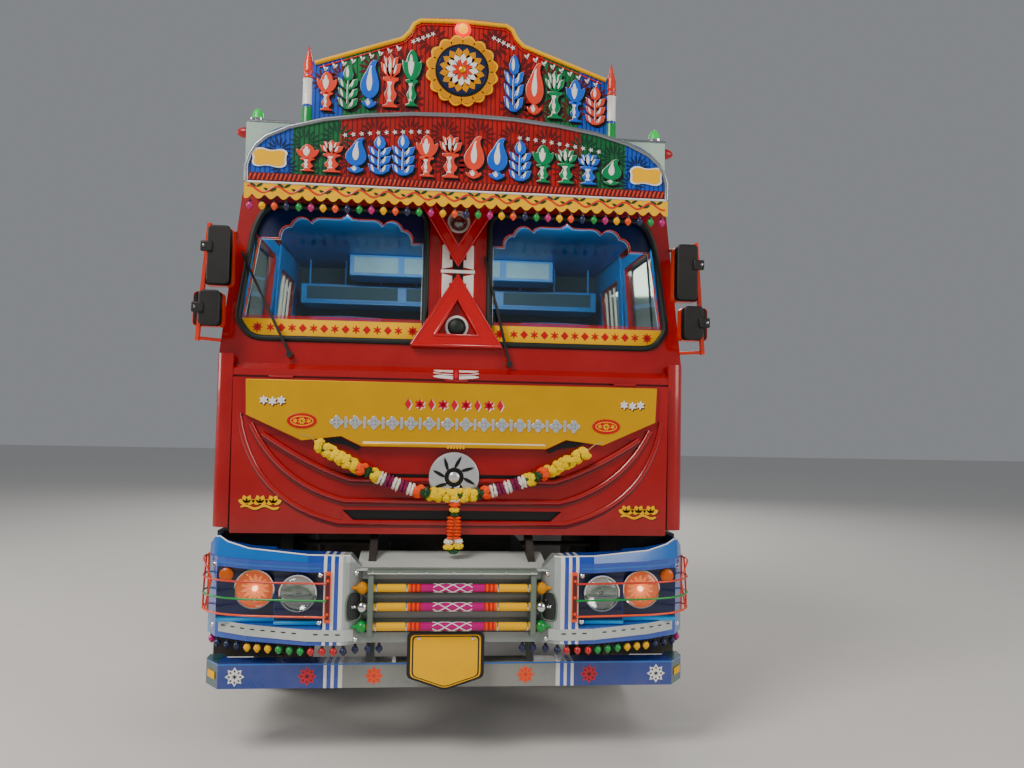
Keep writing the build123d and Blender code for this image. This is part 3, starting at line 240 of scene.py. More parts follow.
class Group:
    """Makes pieces that ride on one body. The slot that it is given is not used."""

    def __init__(self, body, slot):
        self.body, self.slot = body, slot

    def place(self, obj, material):
        """Gives a new object its material and the body that it rides on."""
        bpy.context.scene.collection.objects.link(obj)
        obj.data.materials.append(material)
        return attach(obj, self.body)

    def solid(self, name, verts, faces, material, bevel=0.0, angle=35):
        """A closed mesh with outward normals, soft shading and, if asked, rounded edges."""
        mesh = bpy.data.meshes.new(name)
        mesh.from_pydata([tuple(v) for v in verts], [], faces)
        work = bmesh.new()
        work.from_mesh(mesh)
        bmesh.ops.recalc_face_normals(work, faces=work.faces)
        work.to_mesh(mesh)
        work.free()
        mesh.shade_smooth()
        mesh.set_sharp_from_angle(angle=radians(angle))
        obj = self.place(bpy.data.objects.new(name, mesh), material)
        if bevel:
            rounding = obj.modifiers.new("Rounded edges", "BEVEL")
            rounding.width = bevel / 1000
            rounding.segments = 2
            rounding.limit_method = "ANGLE"
            rounding.angle_limit = radians(40)
        return obj

    def plates(self, name, outlines, surface, base, top, material, bevel=0.0):
        """Flat plates: each outline stands on a surface, between two lifts above it."""
        verts, faces = [], []
        for outline in outlines:
            start, count = len(verts), len(outline)
            verts += [surface(x, z, lift) for lift in (base, top) for x, z in outline]
            faces += [list(range(start, start + count)), list(range(start + count, start + 2 * count))]
            faces += [[start + i, start + (i + 1) % count, start + count + (i + 1) % count, start + count + i]
                      for i in range(count)]
        return self.solid(name, verts, faces, material, bevel)

    def pipes(self, name, lines, half_width, depth, surface, base, material):
        """Half round beading along lines of (x, z) points that stand on a surface."""
        verts, faces = [], []
        for line in lines:
            start = len(verts)
            for i, (x, z) in enumerate(line):
                run = direction_at(line, i)
                verts += [surface(x - run.y * half_width * side, z + run.x * half_width * side, base + depth * rise)
                          for side, rise in BEAD_SECTION]
            for a in range(start, len(verts) - 5, 5):
                faces += [[a + j, a + (j + 1) % 5, a + 5 + (j + 1) % 5, a + 5 + j] for j in range(5)]
            faces += [[end + j for j in range(5)] for end in (start, len(verts) - 5)]
        return self.solid(name, verts, faces, material, angle=60)

    def boxes(self, name, sizes, material, bevel=2.0):
        """Blocks between two values on each axis: (x0, x1, station0, station1, z0, z1)."""
        verts, faces = [], []
        for x0, x1, s0, s1, z0, z1 in sizes:
            faces += [[len(verts) + i for i in face] for face in BLOCK_FACES]
            verts += [at(x, s, z) for x in (x0, x1) for s in (s0, s1) for z in (z0, z1)]
        return self.solid(name, verts, faces, material, bevel)

    def tubes(self, name, lines, radius, material, closed=False, smooth=False):
        """Round bars along lines of points."""
        data = bpy.data.curves.new(name, "CURVE")
        data.dimensions = "3D"
        data.bevel_depth = radius / 1000
        data.bevel_resolution = 2
        data.resolution_u = 6
        data.use_fill_caps = True
        for line in lines:
            spline = data.splines.new("NURBS" if smooth else "POLY")
            spline.points.add(len(line) - 1)
            for point, place in zip(spline.points, line):
                point.co = (*place, 1)
            spline.use_cyclic_u = closed
            if smooth:
                spline.order_u = 3
                spline.use_endpoint_u = not closed
        return self.place(bpy.data.objects.new(name, data), material)

    def turned(self, name, profile, places, material, axis=(0, 0, 1), steps=20, angle=40, hollow=False):
        """Lathe work: a profile of (radius, height) millimetres about an axis, once at each place.

        A hollow one's profile is a closed outline that stays off the axis.
        """
        turn = Vector((0, 0, 1)).rotation_difference(Vector(axis)).to_matrix()
        verts, faces = [], []
        for place in places:
            rings = []
            for radius, height in profile:
                count = steps if radius > 0 else 1
                rings.append([len(verts) + i for i in range(count)])
                verts += [place + turn @ Vector((radius * cos(2 * pi * i / steps), radius * sin(2 * pi * i / steps),
                                                 height)) / 1000 for i in range(count)]
            for low, high in zip(rings, rings[1:] + rings[:1] if hollow else rings[1:]):
                for i in range(steps):
                    corners = [low[i % len(low)], low[(i + 1) % len(low)], high[(i + 1) % len(high)],
                               high[i % len(high)]]
                    face = list(dict.fromkeys(corners))
                    if len(face) > 2:
                        faces.append(face)
            if not hollow:
                faces += [ring for ring in (rings[0], rings[-1]) if len(ring) > 1]
        return self.solid(name, verts, faces, material, angle=angle)


# Groups of pieces, named for the body that carries them and what the pieces are

boards, cab_skin, cab_trim, cab_lamps, box_trim, cab_metal, cab_glass = [
    Group("cab", slot) for slot in ("board_paint", "cab_red", "trim_black", "lamp_lens", "box_pale", "bare_steel",
                                    "glass")]
panel_paint, panel_skin, panel_trim, panel_metal, flowers = [
    Group("front_panel", slot) for slot in ("board_paint", "cab_red", "trim_black", "aluminium", "flowers")]
bumper_paint, lamp_guards, rack_plates, rack_rails, frame_paint, frame_lamps = [
    Group("chassis", slot) for slot in ("bumper_blue", "guard_orange", "rack_green", "tube_yellow", "board_paint",
                                        "lamp_lens")]
frame_trim, frame_sheet, frame_metal, frame_black = [
    Group("chassis", slot) for slot in ("trim_black", "aluminium", "bare_steel", "chassis_black")]
coupling_metal, coupling_grease = Group("fifth_wheel", "bare_steel"), Group("fifth_wheel", "cast_iron")


# Materials

def linear(code):
    """An sRGB hex value as the linear colour that a shader takes."""
    parts = [int(code[i:i + 2], 16) / 255 for i in (1, 3, 5)]
    return (*[p / 12.92 if p <= 0.04045 else ((p + 0.055) / 1.055) ** 2.4 for p in parts], 1.0)


def add_node(tree, kind, inputs=(), stops=(), **settings):
    """Adds one shader node: its properties, its ramp's hard stops, and its inputs' values or sources."""
    item = tree.nodes.new(kind)
    for name, value in settings.items():
        setattr(item, name, value)
    if stops:
        ramp = item.color_ramp
        ramp.interpolation = "CONSTANT"
        ramp.elements.remove(ramp.elements[1])
        ramp.elements[0].position, ramp.elements[0].color = stops[0]
        for place, colour in stops[1:]:
            ramp.elements.new(place).color = colour
    for name, value in dict(inputs).items():
        if isinstance(value, bpy.types.NodeSocket):
            tree.links.new(value, item.inputs[name])
        else:
            item.inputs[name].default_value = value
    return item


class Surface:
    """The nodes of one material; every method adds one node and gives back what comes out of it."""

    def __init__(self, name):
        self.material = bpy.data.materials.new(name)
        self.material.use_nodes = True
        self.tree = self.material.node_tree
        self.shader = self.tree.nodes["Principled BSDF"]
        self.place = add_node(self.tree, "ShaderNodeTexCoord").outputs["Object"]

    def maths(self, operation, *values):
        return add_node(self.tree, "ShaderNodeMath", dict(enumerate(values)), operation=operation).outputs[0]

    def mapped(self, value, low, high, to_low=0.0, to_high=1.0, **settings):
        return add_node(self.tree, "ShaderNodeMapRange",
                        {"Value": value, "From Min": low, "From Max": high, "To Min": to_low, "To Max": to_high},
                        **settings).outputs[0]

    def mixed(self, share, first, second, way="MIX"):
        return add_node(self.tree, "ShaderNodeMix", {0: share, 6: first, 7: second}, data_type="RGBA",
                        blend_type=way).outputs[2]

    def noise(self, place, scale, detail, roughness=0.5):
        return add_node(self.tree, "ShaderNodeTexNoise",
                        {"Vector": place, "Scale": scale, "Detail": detail, "Roughness": roughness}).outputs["Fac"]

    def finished(self, colour, roughness, height, distance, strength, **values):
        """Wires the shader's colour, roughness and relief, and sets its other inputs by name."""
        bump = add_node(self.tree, "ShaderNodeBump", {"Height": height, "Distance": distance, "Strength": strength})
        values |= {"Base Color": colour, "Roughness": roughness, "Normal": bump.outputs["Normal"]}
        for name, value in values.items():
            self.set_input(name.replace("_", " "), value)
        return self.material

    def set_input(self, name, value):
        if isinstance(value, bpy.types.NodeSocket):
            self.tree.links.new(value, self.shader.inputs[name])
        else:
            self.shader.inputs[name].default_value = value


def finish(name, colour, roughness, metallic=0.0, coat=0.0, grain=1.5, relief=0.02, tone=0.12, dust=0.0,
           bands=None, streak=None, shaded_flutes=None, highlight_share=0.0, gleam=0.5):
    """A worked surface: base colour or painted bands, uneven tone, fine relief, and dust low down.

    grain and relief are the width and height of the surface's texture in millimetres. bands is
    (reach, stops): colours by the distance from the truck's middle. streak stretches the texture along
    one axis. shaded_flutes is the pitch of painted upright ribs, each darkened down one side as painted
    groove shade, and highlight_share is how strongly a painted highlight whitens what faces up and to
    the left. gleam is the share of light that the bare surface throws back white.
    """
    surface = Surface(name)
    tree, place = surface.tree, surface.place
    split = add_node(tree, "ShaderNodeSeparateXYZ", {0: place}).outputs
    base = linear(colour)
    if bands:
        reach, stops = bands
        share = surface.mapped(surface.maths("ABSOLUTE", split["X"]), 0, reach / 1000)
        spread = [(edge / reach, linear(code)) for edge, code in stops]
        base = add_node(tree, "ShaderNodeValToRGB", {"Fac": share}, stops=spread).outputs["Color"]
    # Painted shade: one side of each upright flute is darkened, as a groove in shade
    if shaded_flutes:
        wave = surface.maths("PINGPONG", surface.maths("MULTIPLY", split["X"], 2000 / shaded_flutes), 1.0)
        flute_shade = surface.mapped(wave, 0.55, 0.95, 1.0, 0.25, interpolation_type="SMOOTHSTEP")
        base = surface.mixed(1.0, base, flute_shade, "MULTIPLY")
    # Painted highlight: whitens the faces that turn up and to the left
    if highlight_share:
        normal = add_node(tree, "ShaderNodeTexCoord").outputs["Normal"]
        facing_light = add_node(tree, "ShaderNodeVectorMath", {0: normal, 1: (-0.62, -0.62, 0.48)},
                         operation="DOT_PRODUCT").outputs["Value"]
        base = surface.mixed(surface.mapped(facing_light, 0.72, 0.93, to_high=highlight_share), base, linear(WHITE))
    blotches = surface.noise(place, 3.5, 5.0, 0.6)
    toned = surface.mixed(1.0, base, surface.mapped(blotches, 0.3, 0.7, 1 - tone, 1 + tone / 2), "MULTIPLY")
    height = surface.mapped(split["Z"], 0.1, 1.3, 1.0, 0.12)
    dusty = surface.maths("MULTIPLY", surface.mapped(blotches, 0.35, 0.75, to_high=dust), height)
    coloured = surface.mixed(dusty, toned, linear(ROAD_DUST))
    dulled = surface.maths("MULTIPLY_ADD", dusty, 0.5, roughness)
    if streak:
        place = add_node(tree, "ShaderNodeVectorMath", {0: place, 1: streak}, operation="MULTIPLY").outputs[0]
    pores = surface.noise(place, 1000 / grain, 2.0)
    return surface.finished(coloured, dulled, pores, relief / 1000, 0.6, Metallic=metallic, Coat_Weight=coat,
                            Coat_Roughness=0.06, Specular_IOR_Level=gleam)


def glow(name, colour, strength, roughness=0.3):
    """A lit lens: a moulded cover whose light comes through its ribs."""
    material = finish(name, colour, roughness, grain=4.0, relief=0.4, tone=0.2)
    shader = material.node_tree.nodes["Principled BSDF"]
    shader.inputs["Emission Color"].default_value = linear(colour)
    shader.inputs["Emission Strength"].default_value = strength
    return material


def clear(name, colour, ripple=0.005):
    """Glass or a clear moulding, with faint grime that the light catches."""
    material = finish(name, colour, 0.03, grain=9.0, relief=ripple, tone=0.06, dust=0.08)
    shader = material.node_tree.nodes["Principled BSDF"]
    shader.inputs["Transmission Weight"].default_value = 1.0
    shader.inputs["IOR"].default_value = 1.45
    return material


def woven(name, warp_code, weft_code, thread):
    """Cloth: two sets of threads that cross, each thread's width given in millimetres."""
    surface = Surface(name)
    waves = [add_node(surface.tree, "ShaderNodeTexWave",
                      {"Vector": surface.place, "Scale": 314 / thread, "Distortion": 0.6},
                      bands_direction=way).outputs["Fac"] for way in ("X", "DIAGONAL")]
    crossing = surface.maths("MULTIPLY", *waves)
    share = surface.maths("ADD", crossing, surface.noise(surface.place, 9.0, 4.0))
    return surface.finished(surface.mixed(share, linear(warp_code), linear(weft_code)), 0.85, crossing, 0.0006, 0.8,
                            Sheen_Weight=0.4)


ROAD_DUST = "#8A7A66"
RED, BLUE, ORANGE, YELLOW, WHITE = "#B80A10", "#0B46B8", "#FF5200", "#FFBE00", "#F4F2EC"
CYAN, MAGENTA, NAVY, OCHRE, BLACK = "#0C9AE0", "#C00C78", "#0A1E4C", "#E09400", "#0A0A0C"
STRIPES = [(530, WHITE), (549, BLUE), (569, WHITE), (587, BLUE), (606, WHITE), (622, BLUE)]

# Sprayed coach enamel: deep wet gloss with faint orange peel, and dust towards the road
cab_enamel = finish("crimson coach enamel", "#A60208", 0.22, coat=0.7, grain=3.0, relief=0.03, tone=0.1, dust=0.35)
# Chassis black over steel: satin, with a film of road dust
chassis_enamel = finish("black chassis enamel", "#0D0E10", 0.5, grain=2.0, relief=0.08, tone=0.3, dust=0.6)
# Painted casting: coarse sand texture that dulls the paint
casting = finish("painted iron casting", "#26282B", 0.55, grain=1.6, relief=0.5, tone=0.3, dust=0.7)
# Bare rolled steel: grey with long fine scratches and a brown bloom
worn_steel = finish(
    "worn rolled steel", "#7A7672", 0.4, metallic=0.9, grain=2.0, relief=0.1, tone=0.35, dust=0.4, streak=(1, 12, 12))
# Brushed aluminium sheet: pale, with fine lines across
tank_sheet = finish(
    "brushed aluminium sheet", "#B9BCBE", 0.32, metallic=1.0, grain=1.0, relief=0.05, tone=0.1, dust=0.25,
    streak=(14, 1, 14))
# Silver wheel paint over steel: pale and dusty
wheel_paint = finish("silver wheel enamel", "#A9AAA8", 0.35, metallic=0.4, grain=2.0, relief=0.05, tone=0.2, dust=0.6)
# Tyre rubber: charcoal with moulding grain and dust in the sidewall
tyre_rubber = finish("dusty tyre rubber", "#1C1C1D", 0.8, grain=1.4, relief=0.25, tone=0.3, dust=0.55)
# Weatherstrip rubber: flat, slightly green black
seal_rubber = finish("window seal rubber", "#10201C", 0.55, grain=1.2, relief=0.1, tone=0.25)
# Grained ABS: black with a fine leather texture
grained_plastic = finish("black grained ABS", "#0E0F11", 0.5, grain=1.8, relief=0.2, tone=0.15, dust=0.4)
# Chromed ABS: mirror bright with faint waviness
chrome = finish("chromed ABS", "#E4E6E8", 0.08, metallic=1.0, grain=14, relief=0.05, tone=0.04)
# Galvanised sheet edge: grey with a frosted bloom
edge_metal = finish("galvanised edging", "#A4AAB0", 0.35, metallic=0.85, grain=5, relief=0.06, tone=0.2)
# Satin silver moulding: pale, nearly white where it faces the light
foil = finish("satin silver moulding", "#D4D8DA", 0.28, metallic=0.55, coat=0.3, grain=3, relief=0.03, tone=0.08)
# Metallic base coat: yellow gold with fine flake
gold_enamel = finish(
    "mustard gold metallic enamel", "#EEB200", 0.3, metallic=0.4, coat=0.25, grain=0.8, relief=0.02, tone=0.1,
    gleam=0.2)
# Bumper enamel: royal blue ends, white pinstripes and a silver grey middle
bumper_enamel = finish(
    "banded bumper enamel", BLUE, 0.2, coat=0.7, grain=3.0, relief=0.03, dust=0.25,
    bands=(1300, [(0, "#8F9A98"), (500, "#AEB8B8"), *STRIPES, (640, "#0C4CB8"), (1120, "#0C5AC0"),
                  (1200, "#0A76B8")]))
# Low bar enamel: a grey middle, white pinstripes, navy arms and dull green ends
low_bar_enamel = finish(
    "banded low bar enamel", NAVY, 0.25, coat=0.6, grain=3.0, relief=0.03, dust=0.35,
    bands=(1300, [(0, "#8E938F"), *STRIPES, (624, "#0A3C98"), (1135, "#0E5560")]))
# Sign writer's enamel on sheet steel: three painted fields with brushed tone, and upright ribs whose groove shade is
# painted in
crown_enamel = finish(
    "crown board enamel", RED, 0.32, coat=0.4, grain=6, relief=0.06, tone=0.3,
    bands=(900, [(0, "#C01208"), (440, "#067A40"), (635, "#0C54C8")]), shaded_flutes=24)
visor_enamel = finish(
    "visor board enamel", RED, 0.32, coat=0.4, grain=6, relief=0.06, tone=0.3,
    bands=(1200, [(0, "#B40E08"), (620, "#066E3A"), (860, "#0C54C8")]), shaded_flutes=24)
# Pale box enamel: greenish white, washed by rain streaks
box_enamel = finish(
    "pale green box enamel", "#B9D3C1", 0.4, coat=0.2, grain=4, relief=0.05, tone=0.16, dust=0.3, streak=(8, 8, 1))
# Brushed sign enamels: full colours with a wet gloss, uneven where the brush ran dry
orange_enamel = finish("orange enamel", ORANGE, 0.3, coat=0.4, tone=0.15, dust=0.15)
yellow_enamel = finish("chrome yellow enamel", YELLOW, 0.45, tone=0.12, gleam=0.15)
white_enamel = finish("white enamel", WHITE, 0.3, coat=0.4, tone=0.1)
red_enamel = finish("signal red enamel", "#C80008", 0.22, coat=0.7, tone=0.1)
black_enamel = finish("lamp black enamel", BLACK, 0.35, coat=0.2, tone=0.2)
green_enamel = finish("leaf green enamel", "#009A3C", 0.3, coat=0.4, tone=0.18)
dark_green_enamel = finish("bottle green enamel", "#0A3F2A", 0.32, coat=0.3, tone=0.2)
navy_enamel = finish("navy enamel", NAVY, 0.3, coat=0.4, tone=0.2)
cyan_enamel = finish("sky blue enamel", CYAN, 0.28, coat=0.4, tone=0.12)
# Painted highlight: a paler blue where light falls on the bumper's top faces and fold and on the low bar's top edge
pale_blue_highlight = finish("pale blue painted highlight", "#0C6CC8", 0.2, coat=0.8, tone=0.12)
crimson_enamel = finish("crimson enamel", "#D0022C", 0.28, coat=0.4, tone=0.12)
magenta_enamel = finish("magenta enamel", MAGENTA, 0.28, coat=0.4, tone=0.12)
maroon_enamel = finish("maroon enamel", "#5E0D10", 0.32, coat=0.3, tone=0.2)
ochre_enamel = finish("ochre enamel", OCHRE, 0.4, tone=0.25, gleam=0.2)
salmon_enamel = finish("salmon red enamel", "#E03818", 0.3, coat=0.4, tone=0.14)
pale_enamel = finish("pale grey enamel", "#C8D0CC", 0.35, coat=0.3, tone=0.15, dust=0.2)
# Dull enamels of the bumper's recesses and of the rack
pocket_enamel = finish("dark grey enamel", "#1C2422", 0.4, coat=0.2, tone=0.2)
rack_enamel = finish("grey green rack enamel", "#6E7F74", 0.35, coat=0.3, tone=0.2, dust=0.2)
# Rack tubes: a magenta middle, red and orange rings, long yellow runs and grey ends
tube_bands = [(0, MAGENTA), (153, "#C81E1E"), (163, ORANGE), (173, "#C81E1E"), (184, ORANGE),
              (194, "#C81E1E"), (205, ORANGE), (215, "#FFC000"), (440, "#B8BCC0"), (457, "#14653A")]
tube_enamel = finish(
    "banded tube enamel", YELLOW, 0.25, coat=0.3, grain=3, relief=0.02, gleam=0.2, bands=(500, tube_bands))
# Glass: a faint green tint for the windows, moulded ribs for the lamps
window_glass = clear("green tinted window glass", "#DDEBE4")
lamp_glass = clear("ribbed lamp glass", "#F2F4F0", ripple=0.8)
# Lamps: warm light on a bright bowl, amber, red and green mouldings that glow through their ribs
warm_lamp = glow("lit halogen lamp", "#FFC896", 4.0)
warm_bowl = glow("warm lit reflector", "#FF7430", 0.4, 0.2)
hot_bowl = glow("hot middle of the reflector", "#FF9450", 0.8, 0.2)
reflector = finish("vacuum coated reflector", "#D8DADC", 0.12, metallic=1.0, grain=6, relief=0.5, tone=0.1)
amber_lens = glow("amber lens", "#C85A00", 0.15)
red_lens = glow("red lens", "#A8121A", 0.2)
green_lamp = glow("green lamp dome", "#00B440", 0.6)
beacon_glow = glow("warm beacon", "#FFAA00", 1.3)
beacon_red = glow("red glow ring", "#FF0000", 1.0)
# Cab cloth and linings: ribbed blue, checked red, and scuffed blue and grey green panels
seat_cloth = woven("ribbed seat cloth", "#1D2B6B", "#3C52A0", 3.0)
bunk_cloth = woven("checked bunk cloth", "#7A1F2B", "#C7A36A", 4.0)
interior_blue = finish("blue interior enamel", "#0A84E0", 0.4, grain=5, relief=0.05, tone=0.2)
pale_laminate = finish("pale blue laminate", "#6FA8C8", 0.35, grain=6, relief=0.04, tone=0.25)
interior_green = finish("grey green lining", "#1E5068", 0.6, grain=3, relief=0.1, tone=0.2)
# Old grease: dark, wet and lumpy
grease = finish("old grease", "#2A2620", 0.3, coat=0.3, grain=5, relief=0.4, tone=0.4)
interior_dark = finish("dark trim board", "#23262B", 0.6, grain=1.8, relief=0.2, tone=0.2)
# Silvered glass: a clean, nearly sharp reflection
mirror_glass = finish("silvered mirror glass", "#C8CED2", 0.04, metallic=1.0, grain=30, relief=0.02, tone=0.06)
# Fresh petals: soft and crinkled, with darker folds; leaves with a waxy shine
marigold = finish("marigold petals", "#FFD800", 0.7, grain=5, relief=3.0, tone=0.2, gleam=0.1)
orange_flower = finish("orange marigold petals", "#FF5000", 0.7, grain=5, relief=3.0, tone=0.2)
white_flower = finish("white jasmine petals", "#F3EFE4", 0.7, grain=4, relief=1.0, tone=0.15)
purple_flower = finish("purple petals", "#8A0450", 0.75, grain=4, relief=1.0, tone=0.3)
leaf_green = finish("glossy dark leaf", "#14502A", 0.4, grain=7, relief=0.6, tone=0.3)
string_cotton = finish("cotton string", "#B9A36A", 0.8, grain=1.5, relief=0.5, tone=0.2)
# Studio floor: flat and pale
studio_floor = finish("matt studio floor", "#DCDAD6", 0.7, grain=3, relief=0.02, tone=0.02)


# Settings that a user would change

class TruckSizes(bpy.types.PropertyGroup):
    """Sizes of the dressing."""
    bulb_count: IntProperty(name="Hanging bulbs", description="Bulbs that hang under the valance",
                            default=36, min=2)
    seal_radius: FloatProperty(name="Window seal", description="Half thickness of the windscreen seals",
                               default=0.017, min=0.004, unit="LENGTH")
    tread_depth: FloatProperty(name="Tread depth", description="Depth of the grooves between tread blocks",
                               default=0.010, min=0.002, unit="LENGTH")
    flower_size: FloatProperty(name="Flower size", description="Width of one flower head in the garland",
                               default=0.062, min=0.02, unit="LENGTH")


class TruckColours(bpy.types.PropertyGroup):
    """Colours of the studio around the truck."""
    light: FloatVectorProperty(name="Studio light", description="Colour of the soft lights",
                               default=linear("#FFF8F0")[:3], subtype="COLOR", min=0, max=1)
    world: FloatVectorProperty(name="Studio wall", description="Colour of the light from all round",
                               default=linear("#E4E8EE")[:3], subtype="COLOR", min=0, max=1)


NODE_FINISHES = {
    cab_enamel: ("cab_front", "corner_deflectors", "cab_sides", "cab_rear_wall", "cab_roof", "door_left",
                 "door_right", "front_panel"),
    chassis_enamel: ("frame_rails", "cross_members", "battery_box", "air_tanks", "tail_bar", "fifth_wheel_base",
                     "radiator", "cab_floor"),
    casting: ("front_axle", "rear_axle", "engine_block", "fifth_wheel_plate", "knuckle_left", "knuckle_right"),
    worn_steel: ("coupling_jaw", "leaf_springs", "propeller_shaft", "exhaust_silencer", "track_rod"),
    tank_sheet: ("fuel_tank",),
    bumper_enamel: ("front_bumper",),
    low_bar_enamel: ("low_bumper_bar",),
    lamp_glass: ("headlamps",),
    orange_enamel: ("lamp_guards",),
    rack_enamel: ("bumper_rack",),
    tube_enamel: ("rack_tubes",),
    grained_plastic: ("step_wells", "rear_mudguards", "dashboard", "steering_wheel", "wiper_left",
                      "wiper_right"),
    window_glass: ("cab_glass", "door_glass_left", "door_glass_right"),
    crown_enamel: ("crown_board",),
    visor_enamel: ("visor_board",),
    box_enamel: ("roof_box",),
    red_enamel: ("windscreen_triangles",),
    salmon_enamel: ("mirrors",),
    seat_cloth: ("seat_cushions",),
    marigold: ("garland", "garland_tassel"),
    tyre_rubber: ("front_tyre_left", "front_tyre_right", "rear_tyres_left", "rear_tyres_right"),
    wheel_paint: ("front_rim_left", "front_rim_right", "rear_rims_left", "rear_rims_right"),
}


class TRUCK_OT_stage(bpy.types.Operator):
    """Sets up the floor, the soft lights and the camera at the photograph's angle"""
    bl_idname = "truck.stage"
    bl_label = "Studio stage"

    def execute(self, context):
        scene = context.scene
        mesh = bpy.data.meshes.new("studio_floor")
        reach = 40
        mesh.from_pydata(
            [(-reach, -reach, 0), (reach, -reach, 0), (reach, reach, 0), (-reach, reach, 0)], [], [(0, 1, 2, 3)])
        floor = bpy.data.objects.new("studio_floor", mesh)
        floor.data.materials.append(studio_floor)
        scene.collection.objects.link(floor)
        colours = scene.truck_colours
        world = bpy.data.worlds.new("Studio wall")
        scene.world = world
        world.use_nodes = True
        world.node_tree.nodes["Background"].inputs["Color"].default_value = (*colours.world, 1)
        world.node_tree.nodes["Background"].inputs["Strength"].default_value = 0.3
        for name, place, target, size, depth, power in (
                ("key_light", (-5.0, -7.5, 8.5), (0, -1.8, 1.9), 4.0, 4.0, 720),
                ("fill_light", (7.5, -7.0, 4.5), (0, -2.2, 1.6), 5.0, 5.0, 320),
                ("left_light", (-9.0, -1.0, 4.0), (0, -0.5, 1.4), 4.0, 4.0, 240),
                ("cab_light", (0.0, -2.33, 2.8), (0, -1.2, 2.3), 1.9, 0.05, 26),
                ("back_light", (1.5, 9.5, 7.0), (0, 0.5, 1.5), 6.0, 6.0, 520)):
            light = bpy.data.lights.new(name, "AREA")
            light.shape = "RECTANGLE"
            light.size = size
            light.size_y = depth
            light.energy = power
            light.color = colours.light
            lamp = bpy.data.objects.new(name, light)
            lamp.location = place
            lamp.rotation_euler = (Vector(target) - Vector(place)).to_track_quat("-Z", "Y").to_euler()
            scene.collection.objects.link(lamp)
        yaw, pitch, roll = radians(5.58), radians(2.63), radians(1.14)
        forward = Vector((sin(yaw) * cos(pitch), cos(yaw) * cos(pitch), sin(pitch)))
        level = Vector((cos(yaw), -sin(yaw), 0))
        above = level.cross(forward)
        right = level * cos(roll) + above * sin(roll)
        up = above * cos(roll) - level * sin(roll)
        lens = bpy.data.cameras.new("photograph_camera")
        lens.lens = 29.73
        lens.sensor_width = 36
        camera = bpy.data.objects.new("photograph_camera", lens)
        turn = Matrix((right, up, -forward)).transposed()
        camera.matrix_world = Matrix.Translation((-0.139, -7.0125, 1.679)) @ turn.to_4x4()
        scene.collection.objects.link(camera)
        scene.camera = camera
        return {"FINISHED"}


class TRUCK_OT_frame_finishes(bpy.types.Operator):
    """Gives every CAD node the finish of the real piece"""
    bl_idname = "truck.frame_finishes"
    bl_label = "Finishes of the CAD nodes"

    def execute(self, context):
        for material, names in NODE_FINISHES.items():
            for name in names:
                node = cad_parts[name]
                node.data.materials.clear()
                node.data.materials.append(material)
        return {"FINISHED"}


# Painted boards

def mirrored_leaf(line):
    """A leaf and its mirror image about the middle of a form one unit wide."""
    return [line, [(1 - x, z) for x, z in line]]


def raised_leaf(z, reach=1.0):
    return [(0.5, z), (0.66, z + 0.01), (0.92 * reach, z + 0.1), (reach, z + 0.27), (0.82 * reach, z + 0.25),
            (0.58, z + 0.13)]


BUD_ON_FOOT = [moved(LOTUS, 0, 0.4, 1, 0.6), moved(BALUSTER, 0.16, 0, 0.68, 0.46)]
MANGO = [moved(PAISLEY, 0, 0.2, 1, 0.8), moved(LOTUS, 0.14, 0, 0.72, 0.22)]
SPRAY = [moved(PETAL, 0.5, 0.62, 1.3, 0.38), *mirrored_leaf(raised_leaf(0.44)), *mirrored_leaf(raised_leaf(0.22)),
         *mirrored_leaf(raised_leaf(0.0)), rectangle(0.45, 0.55, 0, 0.66)]
VASE = [moved(BALUSTER, 0.08, 0, 0.84, 0.56), moved(PETAL, 0.5, 0.52, 1.2, 0.48), *mirrored_leaf(raised_leaf(0.56)),
        *mirrored_leaf(raised_leaf(0.68, 0.86))]
FORMS = (BUD_ON_FOOT, SPRAY, MANGO, VASE)
# Carved ornament enamels with a painted highlight: the faces that turn up and to the left are whitened
CARVED = {
    "salmon": finish("carved salmon enamel with painted highlight", "#F04428", 0.28, coat=0.5, tone=0.2, highlight_share=1.0),
    "green": finish("carved green enamel with painted highlight", "#008A50", 0.28, coat=0.5, tone=0.2, highlight_share=1.0),
    "blue": finish("carved blue enamel with painted highlight", "#0A64E0", 0.28, coat=0.5, tone=0.2, highlight_share=1.0),
}


def ornament_row(name, places, surface):
    """A row of carved ornaments with painted highlights, each over its painted black shadow.

    places are (x, foot z, width, height, form, colour key).
    """
    shadows, lights = [], []
    carved = {key: [] for key in CARVED}
    for x, foot, width, height, form, key in places:
        for outline in form:
            line = moved(outline, x, foot, width, height)
            middle_x = sum(px for px, _ in line) / len(line)
            middle_z = sum(pz for _, pz in line) / len(line)
            carved[key].append(line)
            shadows.append(moved(line, 13, -11))
            lights.append(moved(shrunk(line, middle_x, middle_z, 0.3, 0.66), -6, 4))
    boards.plates(f"{name}_shadows", shadows, surface, 1.5, 3, black_enamel)
    for key, outlines in carved.items():
        boards.plates(f"{name}_{key}", outlines, surface, 2.5, 12.5, CARVED[key], 5)
    boards.plates(f"{name}_lights", lights, surface, 12, 13.5, white_enamel)


CROWN_HALF = ((800, 3574), (332, 3736), (292, 3778), (270, 3822), (236, 3842), (0, 3852))
SPIRE = (
    ("cap", ((0, 340), (26, 342), (28, 348), (26, 354), (24, 360), (25, 372), (28, 378), (28, 384), (25, 390),
             (25.5, 424), (20, 444), (9, 490), (0, 532)), salmon_enamel),
    ("neck", ((20, 196), (28, 198), (28, 206), (26.5, 210), (26.5, 326), (28, 330), (28, 338), (20, 340)),
     white_enamel), ("base", ((20, 32), (28, 34), (28, 180), (24, 188), (24, 192), (20, 196)), green_enamel))


def mirrored_line(half):
    """A whole line from its right half, listed from its outer end in."""
    return [*half, *[(-x, z) for x, z in reversed(half) if x > 0]]


